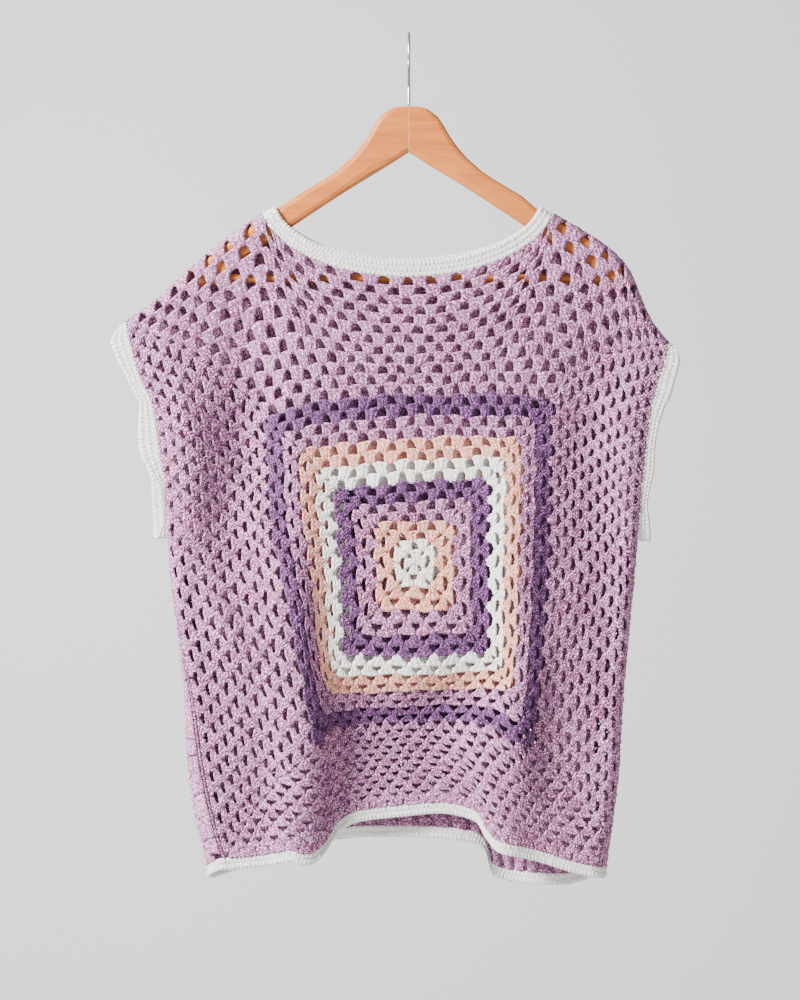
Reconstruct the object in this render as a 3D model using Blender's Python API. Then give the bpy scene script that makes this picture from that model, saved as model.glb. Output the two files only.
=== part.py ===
"""Short-sleeved crochet top on a wooden hanger.

Two big granny squares, front and back, are joined along the shoulders and down the sides,
and edged at the neck, the sleeves and the hem. The top hangs on a wooden hanger with a
trouser bar and a wire hook.

All sizes here are in millimetres and become metres when a mesh is made. X runs to the
right as seen from the front, Y to the back and Z up. The origin is where a rail would
carry the hook, at the inside top of its bend.

A point of a square has the place (u, v), counted in rounds from the square's middle, so
round 28 is the outer edge. u runs to the right and v up.
"""

import math

import bpy
import numpy as np

MM = 0.001

ROUNDS = 28
WALL = 3.0
SEAM_GAP = 0.3
SEAM_STRIP = 3.0
SEAM_END = 0.07
SIDE_GAP = 0.5
EDGING_GAP = 0.5
HEM_GAP = 0.65
NECK_ROUND = 13.0
SLEEVE_ROUND = 3.0

NECK_CENTRE_X = -1.5
NECK_HALF_WIDTH = 149.5
NECK_END_Z = -186.0
NECK_ARC = math.radians(79.0)
NECK_BAND = 15.0
CUFF_BAND = 13.0
CUFF_FOOT = 0.3
HEM_BAND = 11.0

ARCH_RADIUS = 8.5
ARCH_LIMIT = 0.998
ARCH_FROM_ROUND = 20.0
ARM_SLOPE = math.radians(31.0)
CREST_OVER_NECK = 26.0
CREST_NUDGE = 0.02

# How the rows of the squares follow the shoulders and are drawn to the side folds
EDGE_BLUR = 0.35
PULL_START = 16.0
PULL_SPAN = 12.0
SHOULDER_FROM = 13.05
SHOULDER_TO = 27.9
SLOPE_STEP = 0.02

# Seam line from the sleeve's corner to the neck, left then right: round, x, z
SHOULDER_LEFT = (
    (-28, -292, -298), (-25, -268, -282), (-22, -242, -259),
    (-19, -219, -237), (-16, -188, -212), (-13, -151, -186),
)
SHOULDER_RIGHT = (
    (13, 148, -186), (16, 184, -207), (19, 213, -228), (21, 228, -247),
    (23, 238, -272), (25.5, 251, -299), (28, 268, -320),
)

# Cross rows of the squares above the hem: round u, x, z
ROW_UPPER = (
    (-28, -258, -405), (-22, -203, -394), (-16, -145, -380), (-8, -75, -377),
    (0, 2, -373), (8, 77, -373), (16, 146, -376), (22, 197, -396), (28, 246, -415),
)
ROW_MIDDLE = (
    (-28, -246, -556), (-22, -188, -549), (-16, -130, -546), (-8, -70, -545),
    (0, 6, -545), (8, 80, -543), (16, 141, -544), (22, 190, -551), (28, 234, -558),
)
ROW_ABOVE_MIDDLE = (
    (-28, -250, -470), (-16, -139, -467), (-8, -76, -469), (0, 3, -463), (8, 81, -459),
    (16, 144, -461), (28, 240, -480),
)
ROW_BELOW_MIDDLE = (
    (-28, -231, -640), (-16, -117, -641), (-8, -67, -641), (0, 7, -641), (8, 81, -637),
    (16, 135, -638), (28, 225, -640),
)
ROW_LOWER_FRONT = (
    (-28, -214, -722), (-22, -157, -730), (-16, -101, -735), (-13, -82, -717),
    (-4, -24, -711), (4, 36, -709), (9, 75, -709), (12, 98, -720), (16, 125, -735),
    (22, 176, -736), (28, 219, -735),
)
ROW_LOWER_BACK = (
    (-28, -236, -727), (-22, -190, -728), (-16, -139, -725), (-8, -70, -720),
    (0, 6, -718), (8, 70, -722), (16, 128, -728), (22, 172, -733), (28, 214, -735),
)
HEM_FRONT = (
    (-28, -188, -848), (-25, -163, -846), (-22, -143, -843), (-19, -118, -838),
    (-18, -111, -842), (-17, -102, -842), (-15.5, -89, -834), (-13, -73, -812),
    (-10, -53, -802), (-4, -5, -796), (0, 32, -793), (4, 69, -801), (6, 79, -816),
    (8, 91, -829), (12, 116, -835), (16, 140, -842), (20, 168, -851), (25, 201, -857),
    (28, 218, -855),
)
HEM_BACK = (
    (-28, -215, -848), (-24, -192, -861), (-18, -151, -840), (-12, -91, -826),
    (-6, -40, -820), (0, 16, -820), (6, 66, -825), (8, 78, -834), (10, 87, -860),
    (14, 114, -868), (20, 160, -870), (25, 188, -865), (28, 205, -857),
)

# Side edges down from the shoulder: round v, x of the edge or fold, z, and how far the
# seam lies to the front of the fold
LEFT_SIDE = (
    (28, -292, -298, 0), (22, -278, -352, 0), (18, -264, -383, 0), (12, -256, -432, 0),
    (7, -250, -479, 0), (3, -247, -523, 0), (0, -245, -556, 4), (-6, -238, -620, 10),
    (-12, -231, -685, 17), (-18, -228, -744, 23), (-24, -219, -806, 27),
    (-28, -207, -848, 28),
)
RIGHT_SIDE = (
    (28, 268, -320, 0), (22, 254, -366, 0), (18, 247, -400, 0), (12, 241, -450, 0),
    (7, 237, -489, 0), (3, 234, -525, 0), (0, 232, -556, -3), (-6, 227, -620, -8),
    (-12, 221, -687, -12), (-18, 217, -751, -15), (-24, 209, -812, -16),
    (-28, 203, -857, -16),
)

# Half depth of the hanging tube: round v, front, back
DEPTH = (
    (28, 8.5, 8.5), (22, 9.5, 9.0), (16, 11.0, 10.0), (0, 14.0, 12.0),
    (-16, 17.0, 14.0), (-28, 20.0, 16.0),
)

# Largest folds: top (u, v), bottom (u, v), half width in rounds, height towards the
# outside in mm, flatness (2 is a round ridge, 6 a flat trough with steep sides)
FOLDS_FRONT = (
    (-18.0, 2.0, -18.5, -28.0, 3.2, 9.0, 2),
    (-2.5, -8.0, -4.5, -28.0, 10.5, -19.0, 6),
    (15.0, -6.0, 9.5, -28.0, 3.4, 8.0, 2),
    (-20.0, 20.0, -19.0, 2.0, 3.2, -4.0, 2),
    (-25.0, 24.0, -25.0, 10.0, 2.6, 4.0, 2),
    (20.0, 21.0, 19.0, 2.0, 3.0, -4.0, 2),
    (24.5, 22.0, 25.0, 8.0, 2.6, 4.0, 2),
    (3.0, -1.0, -1.0, -14.0, 3.5, 3.0, 2),
)
FOLDS_BACK = (
    (-12.0, 4.0, -14.0, -28.0, 4.0, 6.0, 2),
    (3.0, 8.0, 4.0, -28.0, 4.5, -5.0, 2),
    (14.0, 2.0, 12.5, -28.0, 3.6, 7.0, 2),
    (20.0, 20.0, 19.0, 4.0, 3.0, -3.0, 2),
    (-19.0, 20.0, -20.0, 4.0, 3.0, -3.0, 2),
)
FOLD_FADE = 8.0

# Hanger arm outline: distance from the middle, z. Past the neck the top follows the
# shoulder seam.
ARM_TOP = (
    (0.15, -74), (14, -75), (24, -80), (32, -87), (40, -101), (51, -117), (70, -137),
    (107, -161), (120, -169),
)
ARM_BOTTOM = (
    (0.15, -122), (30, -141), (66, -163), (130, -205), (174, -234), (187, -243),
    (196, -256), (222, -262),
)
ARM_END = 220.0
ARM_HALF_THICK = 5.5
ARM_UNDER_SEAM = 2.3
ARM_TIP_ROUND = 1.5
STEEPEST = 1.6
BAR_Z = -252.0
BAR_RADIUS = 4.5
BAR_END = 185.9
LUG_START = 186.7
LUG_BELOW_BAR = 2.0

HOOK_WIRE = 1.5
HOOK_RADIUS = 22.5
HOOK_FOOT_Z = -73.7
HOOK_STEM_TOP = -56.0
HOOK_START = math.radians(-62.0)
HOOK_TIP_ANGLE = math.radians(-28.0)
HOOK_LEAN = 0.9

LILAC = (0.58, 0.38, 0.58)
WHITE = (0.82, 0.82, 0.79)
WOOD = (0.73, 0.38, 0.16)
STEEL = (0.62, 0.62, 0.63)
YARN_ROUGH = 0.9
WOOD_ROUGH = 0.45
STEEL_ROUGH = 0.3
SHARP_ANGLE = math.radians(50.0)

# Rounds at which the cloth has a row of points, across and up

COLUMNS = (
    -28, -27.3, -26, -24, -22, -20, -18.5, -17, -15.7, -14.3, -13, -12.93, -12.75, -12.4,
    -11.8, -10.5, -8.5, -6, -3, 0, 2.5, 4.4, 5.8, 7.2, 8.6, 10.2, 11.8, 12.4, 12.75, 12.93,
    13, 14.5, 16.5, 18.2, 19.6, 21, 22.5, 24.5, 26, 27.3, 28,
)
LEVELS = (
    -28, -26.5, -24, -21, -18, -15, -12, -9, -6, -3, 0, 2.5, 3.1, 3.5, 4.3, 6, 9, 12.5,
    16, 19, 22, 24.5, 26.3, 27.2, 27.65, 27.9, 28,
)

# Each square is one piece of cloth, in six solids cut along its rounds, so that the turned
# sides and shoulders are simple forms: name, rounds across from and to, up from and to
BLOCKS = (
    ("panel", -24, 24.5, -28, 26.3),
    ("neckline", -13, 13, 26.3, 28),
    ("shoulder_left", -24, -13, 26.3, 28),
    ("shoulder_right", 13, 24.5, 26.3, 28),
    ("side_left", -28, -24, -28, 28),
    ("side_right", 24.5, 28, -28, 28),
)
BLOCK_TRIM = 0.028


def smooth(nodes, values, t):
    """Smooth curve through the values at the nodes, with no overshoot, read at t."""
    nodes = np.asarray(nodes, float)
    t = np.asarray(t, float)
    values = np.asarray(values, float)
    if values.ndim == 1:
        values = np.repeat(values[:, None], t.size, axis=1)
    steps = np.diff(nodes)[:, None]
    slopes = np.diff(values, axis=0) / steps
    tangents = np.zeros_like(values)
    tangents[0] = slopes[0]
    tangents[-1] = slopes[-1]
    product = slopes[:-1] * slopes[1:]
    total = slopes[:-1] + slopes[1:]
    safe = np.where(product > 0, total, 1.0)
    tangents[1:-1] = np.where(product > 0, 2 * product / safe, 0.0)
    k = np.clip(np.searchsorted(nodes, t) - 1, 0, len(nodes) - 2)
    each = np.arange(t.size)
    h = steps[k, 0]
    s = (t - nodes[k]) / h
    low, high = values[k, each], values[k + 1, each]
    low_t, high_t = tangents[k, each] * h, tangents[k + 1, each] * h
    rise = s * s * (3 - 2 * s)
    bend = s * (1 - s)
    return low + (high - low) * rise + bend * ((1 - s) * low_t - s * high_t)


def column(table, index):
    return [row[index] for row in table]


def read(table, index, t):
    """One named column of a table, read smoothly at t; the tables run either way."""
    rows = sorted(table)
    return smooth(column(rows, 0), column(rows, index), t)


def ramp(t, start, end):
    """0 before start, 1 past end, with a soft rise between."""
    s = np.clip((t - start) / (end - start), 0, 1)
    return s * s * (3 - 2 * s)


def neck_curve(u, depth):
    """Lower arc of an ellipse for the neckline, with the rounds spaced evenly along it."""
    angle = np.linspace(-NECK_ARC, NECK_ARC, 721)
    x = NECK_CENTRE_X + NECK_HALF_WIDTH * np.sin(angle) / math.sin(NECK_ARC)
    z = NECK_END_Z - depth * (np.cos(angle) - math.cos(NECK_ARC)) / (1 - math.cos(NECK_ARC))
    length = np.concatenate([[0], np.cumsum(np.hypot(np.diff(x), np.diff(z)))])
    place = (np.clip(u, -NECK_ROUND, NECK_ROUND) / NECK_ROUND + 1) / 2 * length[-1]
    return np.interp(place, length, x), np.interp(place, length, z)


def top_edge(u, neck_depth):
    """Upper edge of a square: left shoulder, neckline, right shoulder."""
    x, z = neck_curve(u, neck_depth)
    for table, here in ((SHOULDER_LEFT, u < -NECK_ROUND), (SHOULDER_RIGHT, u > NECK_ROUND)):
        x = np.where(here, read(table, 1, u), x)
        z = np.where(here, read(table, 2, u), z)
    return x, z


def shoulder_down(u, neck_depth):
    """Direction in the plane of the top, down and square to the upper edge at round u."""
    xa, za = top_edge(u - SLOPE_STEP, neck_depth)
    xb, zb = top_edge(u + SLOPE_STEP, neck_depth)
    return unit(np.stack([zb - za, xa - xb], axis=-1))


def crest_line():
    """Line over which front and back meet: each shoulder seam, carried on up the arm."""
    lines = []
    for table, side in ((SHOULDER_LEFT, -1), (SHOULDER_RIGHT, 1)):
        u = np.linspace(table[0][0], table[-1][0], 61)
        x, z = read(table, 1, u), read(table, 2, u)
        if side > 0:
            x, z = x[::-1], z[::-1]
        x = np.append(x, x[-1] - side * CREST_OVER_NECK * math.cos(ARM_SLOPE))
        z = np.append(z, z[-1] + CREST_OVER_NECK * math.sin(ARM_SLOPE))
        lines.append(np.stack([x, z], axis=1))
    return lines


def from_crest(x, z):
    """Offset in the plane of the top from the nearest point of a crest line."""
    best = np.full(np.shape(x), 1e9)
    offset = np.zeros(np.shape(x) + (2,))
    for line in crest_line():
        for a, b in zip(line[:-1], line[1:]):
            edge = b - a
            t = ((x - a[0]) * edge[0] + (z - a[1]) * edge[1]) / edge.dot(edge)
            t = np.clip(t, 0, 1)
            away = np.stack([x - a[0] - t * edge[0], z - a[1] - t * edge[1]], axis=-1)
            distance = np.hypot(away[..., 0], away[..., 1])
            nearer = distance < best
            best = np.where(nearer, distance, best)
            offset = np.where(nearer[..., None], away, offset)
    return offset


def arch(x, z):
    """0 on the crest line, rising as a quarter round to 1 an arch radius below it."""
    offset = from_crest(x, z)
    t = np.clip(np.hypot(offset[..., 0], offset[..., 1]) / ARCH_RADIUS, 0, 1)
    return np.sqrt(1 - (1 - t) ** 2)


def arch_normals(x, z, own_side):
    """Outward normals of the quarter round that leads down from the crest line."""
    over = arch(x, z)
    down = unit(from_crest(x, z - CREST_NUDGE))
    lift = np.sqrt(np.clip(1 - over ** 2, 0, 1))
    return np.stack([-down[..., 0] * lift, own_side * over, -down[..., 1] * lift], axis=-1)


def sleeve_opening(v):
    """How far the sleeve's edge is open at round v: 0 at its foot, soon 1 above it."""
    middle = (ROUNDS + SLEEVE_ROUND) / 2
    half = middle - SLEEVE_ROUND
    below = np.clip((middle - v) / half, 0, 1)
    return (1 - below ** 2) ** 0.3


def side_edge(table, v, radius):
    """Fold line x, its z, and the seam's arc to the front of the fold, at round v."""
    edge_x = read(table, 1, v)
    z = read(table, 2, v)
    turn = np.arcsin(sleeve_opening(v))
    inward = radius * (1 - np.cos(turn))
    side = np.sign(table[0][1])
    fold_x = np.where(v > SLEEVE_ROUND, edge_x + side * inward, edge_x)
    arc = np.where(v > SLEEVE_ROUND, radius * turn, read(table, 3, v))
    return fold_x, z, arc


def fold_height(folds, u, v):
    """Sum of the ridges and troughs, each fading in below its top."""
    height = np.zeros_like(u)
    for top_u, top_v, low_u, low_v, width, rise, flatness in folds:
        along = np.clip((top_v - v) / (top_v - low_v), 0, 1)
        middle = top_u + (low_u - top_u) * along
        across = np.exp(-np.abs((u - middle) / width) ** flatness)
        fade_in = ramp(-v, -top_v, -top_v + FOLD_FADE)
        fade_out = 1 - ramp(-v, -low_v, -low_v + FOLD_FADE)
        height += rise * across * fade_in * fade_out
    return height


class Panel:
    """One square as it hangs. Own side is -1 for the front and 1 for the back."""

    def __init__(self, own_side, neck_depth, lower, hem, folds):
        self.own_side = own_side
        self.neck_depth = neck_depth
        self.rows = ((-28, hem), (-16, lower), (-8, ROW_BELOW_MIDDLE), (0, ROW_MIDDLE),
                     (8, ROW_ABOVE_MIDDLE), (16, ROW_UPPER))
        self.folds = folds

    def depth(self, v):
        front, back = read(DEPTH, 1, v), read(DEPTH, 2, v)
        return (front, back) if self.own_side < 0 else (back, front)

    def flat(self, u, v):
        """Place in the plane of the top before the side folds are turned."""
        blur = EDGE_BLUR * (ROUNDS - v)
        parts = [top_edge(np.clip(u + k * blur, -ROUNDS, ROUNDS), self.neck_depth)
                 for k in (-1, -0.5, 0, 0.5, 1)]
        top_x = sum(part[0] for part in parts) / len(parts)
        top_z = sum(part[1] for part in parts) / len(parts)
        nodes = [row[0] for row in self.rows] + [ROUNDS]
        x = [read(row[1], 1, u) for row in self.rows] + [top_x]
        z = [read(row[1], 2, u) for row in self.rows] + [top_z]
        return smooth(nodes, x, v), smooth(nodes, z, v)

    def points(self, u, v, seam_allowance=None):
        """Middle of the wall at (u, v), as arrays x, y, z."""
        shape = np.broadcast(u, v).shape
        u = np.broadcast_to(np.asarray(u, float), shape).ravel()
        v = np.broadcast_to(np.asarray(v, float), shape).ravel()
        if seam_allowance is None:
            seam_allowance = SIDE_GAP + SEAM_STRIP / 2
        own, other = self.depth(v)
        radius = (own + other) / 2
        x, z = self.flat(u, v)
        limits = []
        for table, side in ((LEFT_SIDE, -1), (RIGHT_SIDE, 1)):
            fold_x, edge_z, arc = side_edge(table, v, own)
            arc = np.where(v > SLEEVE_ROUND, arc, -self.own_side * arc)
            closed = 1 - ramp(v, SLEEVE_ROUND, SLEEVE_ROUND + 1)
            arc = arc + seam_allowance * closed
            edge_x = fold_x - side * (radius * (1 - math.pi / 2) + arc)
            here_x, here_z = self.flat(np.full_like(u, side * ROUNDS), v)
            near = np.clip((side * u - PULL_START) / PULL_SPAN, 0, 1) ** 2
            x = x + near * (edge_x - here_x)
            z = z + near * (edge_z - here_z)
            limits.append(fold_x)
        x, turn = self.turn_folds(x, limits[0], limits[1], radius)
        shoulder = ramp(np.abs(u), NECK_ROUND - 0.4, NECK_ROUND) * ramp(v, ROUNDS - 1, ROUNDS)
        seam_angle = (SEAM_GAP + SEAM_STRIP / 2) / ARCH_RADIUS
        drop = ARCH_RADIUS * (1 - math.cos(seam_angle))
        along = np.sign(u) * np.clip(np.abs(u), SHOULDER_FROM, SHOULDER_TO)
        down = shoulder_down(along, self.neck_depth)
        x = x + drop * shoulder * down[..., 0]
        z = z + drop * shoulder * down[..., 1]
        over = np.where(v > ARCH_FROM_ROUND, arch(x, z), 1.0)
        folds = fold_height(self.folds, u, v) * np.clip(turn, 0, 1) * over
        depth = np.where(turn > 0, own * turn, other * turn)
        y = self.own_side * (depth * over + folds)
        return x.reshape(shape), y.reshape(shape), z.reshape(shape)

    @staticmethod
    def turn_folds(x, left, right, radius):
        """Wrap the flat sheet round each side fold. Gives x and the turn, 1 on the own
        side, 0 on the fold and -1 on the other side."""
        turn = np.ones_like(x)
        for fold, side in ((left, -1), (right, 1)):
            start = fold - side * radius
            past = side * (x - start) / radius
            angle = np.clip(past, 0, math.pi)
            beyond = np.maximum(past - math.pi, 0)
            bent = start + side * radius * (np.sin(angle) - beyond)
            x = np.where(past > 0, bent, x)
            turn = np.where(past > 0, np.cos(angle), turn)
        return x, turn


FRONT = Panel(-1, 65.0, ROW_LOWER_FRONT, HEM_FRONT, FOLDS_FRONT)
BACK = Panel(1, 60.0, ROW_LOWER_BACK, HEM_BACK, FOLDS_BACK)


def stack(x, y, z):
    return np.stack([x, y, z], axis=-1)


def unit(vectors):
    return vectors / np.maximum(np.linalg.norm(vectors, axis=-1, keepdims=True), 1e-9)


def wall_mesh(name, middle, normals, colour, closed=False):
    """Closed wall either side of a grid of middle points, with its edges walled in."""
    rows, cols = middle.shape[:2]
    outer = middle + normals * WALL / 2
    inner = middle - normals * WALL / 2
    verts = np.concatenate([outer.reshape(-1, 3), inner.reshape(-1, 3)])
    count = rows * cols
    grid = np.arange(count).reshape(rows, cols)
    faces = []
    last = rows if closed else rows - 1
    for i in range(last):
        n = (i + 1) % rows
        for j in range(cols - 1):
            faces.append((grid[i, j], grid[i, j + 1], grid[n, j + 1], grid[n, j]))
            faces.append((grid[n, j] + count, grid[n, j + 1] + count,
                          grid[i, j + 1] + count, grid[i, j] + count))
        for j, flip in ((0, False), (cols - 1, True)):
            edge = (grid[i, j], grid[n, j], grid[n, j] + count, grid[i, j] + count)
            faces.append(edge[::-1] if flip else edge)
    if not closed:
        for i, flip in ((0, True), (rows - 1, False)):
            for j in range(cols - 1):
                edge = (grid[i, j], grid[i, j + 1], grid[i, j + 1] + count, grid[i, j] + count)
                faces.append(edge if not flip else edge[::-1])
    make_object(name, verts, faces, colour, YARN_ROUGH)


def signed_volume(verts, faces):
    total = 0.0
    for face in faces:
        a = verts[face[0]]
        for i in range(1, len(face) - 1):
            total += np.dot(a, np.cross(verts[face[i]], verts[face[i + 1]]))
    return total / 6


def make_material(name, colour, roughness, metallic):
    material = bpy.data.materials.new(name)
    material.use_nodes = True
    shader = material.node_tree.nodes["Principled BSDF"]
    shader.inputs["Base Color"].default_value = (*colour, 1)
    shader.inputs["Roughness"].default_value = roughness
    shader.inputs["Metallic"].default_value = metallic
    return material


def make_object(name, verts, faces, colour, roughness, metallic=0.0):
    """Mesh from points in millimetres, turned right side out and shaded smooth."""
    verts = np.asarray(verts, float)
    if signed_volume(verts, faces) < 0:
        faces = [tuple(reversed(face)) for face in faces]
    mesh = bpy.data.meshes.new(name)
    mesh.from_pydata((verts * MM).tolist(), [], [tuple(int(i) for i in f) for f in faces])
    mesh.update()
    mesh.shade_smooth()
    mesh.set_sharp_from_angle(angle=SHARP_ANGLE)
    mesh.materials.append(make_material(name, colour, roughness, metallic))
    thing = bpy.data.objects.new(name, mesh)
    bpy.context.collection.objects.link(thing)


def surface_normals(panel, u, v):
    """Outward normals of a panel, from two small steps on its surface."""
    step = SLOPE_STEP
    uu = np.clip(u, -ROUNDS + step, ROUNDS - step)
    vv = np.clip(v, -ROUNDS + step, ROUNDS - step)
    along = stack(*panel.points(uu + step, vv)) - stack(*panel.points(uu - step, vv))
    up = stack(*panel.points(uu, vv + step)) - stack(*panel.points(uu, vv - step))
    normals = unit(np.cross(along, up)) * (-panel.own_side)
    x, _, z = panel.points(u, v)
    near_crest = (arch(x, z) < ARCH_LIMIT) & (v > ARCH_FROM_ROUND)
    return np.where(near_crest[..., None], arch_normals(x, z, panel.own_side), normals)


def block_stations(stations, start, end):
    """Stations from start to end, drawn in a little where the cloth goes on beyond."""
    line = np.array([s for s in stations if start <= s <= end], float)
    line[0] += BLOCK_TRIM if abs(start) < ROUNDS else 0
    line[-1] -= BLOCK_TRIM if abs(end) < ROUNDS else 0
    return line


def make_square(name, panel):
    """One square as its six solids."""
    for ending, left, right, low, high in BLOCKS:
        across = block_stations(COLUMNS, left, right)
        u, v = np.meshgrid(across, block_stations(LEVELS, low, high), indexing="ij")
        middle = stack(*panel.points(u, v))
        wall_mesh(f"{name}_{ending}", middle, surface_normals(panel, u, v), LILAC)


def ring_normals(edge, outer):
    """Normals of a closed band: across its width and along its run."""
    along = np.roll(edge, -1, axis=0) - np.roll(edge, 1, axis=0)
    return unit(np.cross(along, outer - edge))


def make_band(name, edge, outer, edge_normals, on_crest=False):
    """Closed ring of cloth between two lines. Where it joins the panels it has their
    normals, so that the two walls meet face to face."""
    normals = ring_normals(edge, outer)
    facing = np.sum(normals * edge_normals, axis=1, keepdims=True)
    normals = np.where(facing < 0, -normals, normals)
    over = arch(outer[:, 0], outer[:, 2])[:, None]
    side = np.where(outer[:, 1] < 0, -1, 1)
    crest = arch_normals(outer[:, 0], outer[:, 2], side)
    normals = np.where((over < ARCH_LIMIT) & on_crest, crest, normals)
    middle = np.stack([edge, outer], axis=1)
    wall_mesh(name, middle, np.stack([edge_normals, normals], axis=1), WHITE, closed=True)


def neck_rounds():
    return np.array([c for c in COLUMNS if abs(c) <= NECK_ROUND])


def joined_normals(u, v, crest_ends):
    """Normals along the front edge and back along the back edge. Where both edges meet
    on a crest the two are averaged."""
    front = surface_normals(FRONT, u, v)
    back = surface_normals(BACK, u, v)
    if crest_ends:
        for end in (0, -1):
            front[end] = unit(front[end] + back[end])
        back = back[1:-1]
    return np.concatenate([front, back[::-1]])


def neck_half(panel):
    """Lower and upper line of the neck edging on one side of the top."""
    u = neck_rounds()
    x, z = neck_curve(u, panel.neck_depth)
    xa, za = neck_curve(u - SLOPE_STEP, panel.neck_depth)
    xb, zb = neck_curve(u + SLOPE_STEP, panel.neck_depth)
    across = unit(np.stack([-(zb - za), xb - xa], axis=1))
    side = np.sign(u)
    arm = np.stack([-side * math.cos(ARM_SLOPE), np.full_like(u, math.sin(ARM_SLOPE))], axis=1)
    near_end = (np.abs(u) / NECK_ROUND)[:, None] ** 6
    across = unit(across * (1 - near_end) + arm * near_end)
    lines = []
    for reach in (EDGING_GAP, EDGING_GAP + NECK_BAND):
        px = x + across[:, 0] * reach
        pz = z + across[:, 1] * reach
        over = arch(px, pz)
        over[0] = over[-1] = 0.0
        depth = panel.depth(np.array([ROUNDS]))[0][0]
        lines.append(stack(px, panel.own_side * depth * over, pz))
    return lines


def make_neck_edging():
    front = neck_half(FRONT)
    back = neck_half(BACK)
    edge, outer = [np.concatenate([f, b[-2:0:-1]]) for f, b in zip(front, back)]
    u = neck_rounds()
    normals = joined_normals(u, np.full_like(u, ROUNDS), True)
    make_band("neck_edging", edge, outer, normals, on_crest=True)


def make_cuff_edging(name, side):
    """Band round a sleeve, square to the sleeve's edge and straight out from it."""
    v = np.array([level for level in LEVELS[::-1] if level > SLEEVE_ROUND + CUFF_FOOT])
    u = np.full_like(v, side * ROUNDS)
    lines = []
    for panel in (FRONT, BACK):
        edge = stack(*panel.points(u, v, seam_allowance=0.0))
        edge[0, 1] = edge[-1, 1] = 0.0
        lines.append(edge)
    edge = np.concatenate([lines[0], lines[1][-2:0:-1]])
    run = np.gradient(lines[0][:, [0, 2]], axis=0)
    across = unit(np.stack([-run[:, 1], run[:, 0]], axis=1))
    across = np.where((across[:, 0] * side < 0)[:, None], -across, across)
    across = np.concatenate([across, across[-2:0:-1]])
    push = np.stack([across[:, 0], np.zeros(len(edge)), across[:, 1]], axis=1)
    outer = edge + push * (EDGING_GAP + CUFF_BAND)
    make_band(name, edge + push * EDGING_GAP, outer, joined_normals(u, v, True))


def make_hem_edging():
    u = np.array(COLUMNS, float)
    v = np.full_like(u, -ROUNDS)
    front = stack(*FRONT.points(u, v))
    back = stack(*BACK.points(u, v))
    line = np.concatenate([front, back[::-1]])
    normals = joined_normals(u, v, False)
    run = unit(np.roll(line, -1, axis=0) - np.roll(line, 1, axis=0))
    off = unit(np.cross(run, normals))
    off = np.where(off[:, 2:] > 0, -off, off)
    edge = line + off * HEM_GAP
    make_band("hem_edging", edge, edge + np.array([0.0, 0.0, -HEM_BAND]), normals)


def make_side_seam(name, table, side):
    """Strip of joining stitches between the edges of front and back, below the sleeve."""
    v = np.array([level for level in LEVELS[::-1] if level < SLEEVE_ROUND])
    front_depth, back_depth = FRONT.depth(v)
    radius = (front_depth + back_depth) / 2
    fold_x, z, arc = side_edge(table, v, radius)
    rows = []
    for across in (-0.5, 0.5):
        past = math.pi / 2 - (arc + across * SEAM_STRIP) / radius
        angle = np.clip(past, 0, math.pi)
        beyond = np.minimum(past, 0) - np.maximum(past - math.pi, 0)
        x = fold_x + side * radius * (np.sin(angle) - 1 + beyond)
        turn = np.cos(angle)
        y = -np.where(turn > 0, front_depth, back_depth) * turn
        rows.append(stack(x, y, z))
    middle = np.stack(rows, axis=1)
    along = np.gradient(middle, axis=0)
    normals = unit(np.cross(along, (rows[1] - rows[0])[:, None, :]))
    wall_mesh(name, middle, normals, LILAC)


def make_shoulder_seam(name, table):
    """Strip of joining stitches along the top of the shoulder."""
    u = np.array([c for c in COLUMNS if table[0][0] <= c <= table[-1][0]], float)
    u[0] += SEAM_END
    u[-1] -= SEAM_END
    x, z = read(table, 1, u), read(table, 2, u)
    down = shoulder_down(u, FRONT.neck_depth)
    turn = SEAM_STRIP / 2 / ARCH_RADIUS
    drop = ARCH_RADIUS * (1 - math.cos(turn))
    rows, normals = [], []
    for side in (-1, 1):
        y = np.full_like(x, side * ARCH_RADIUS * math.sin(turn))
        rows.append(stack(x + down[:, 0] * drop, y, z + down[:, 1] * drop))
        lean = np.full_like(x, side * math.sin(turn))
        lift = math.cos(turn)
        normals.append(stack(-down[:, 0] * lift, lean, -down[:, 1] * lift))
    wall_mesh(name, np.stack(rows, axis=1), np.stack(normals, axis=1), LILAC)


def arm_top(distance, side):
    """Top of a hanger arm: its own curve at the middle, the shoulder seam further out."""
    line = crest_line()[0 if side < 0 else 1][::-1]
    run = unit(np.gradient(line, axis=0))
    under = line + ARM_UNDER_SEAM * np.stack([side * run[:, 1], -side * run[:, 0]], axis=1)
    x = np.concatenate([column(ARM_TOP, 0), side * under[:, 0]])
    z = np.concatenate([column(ARM_TOP, 1), under[:, 1]])
    return smooth(x, z, distance)


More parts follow.
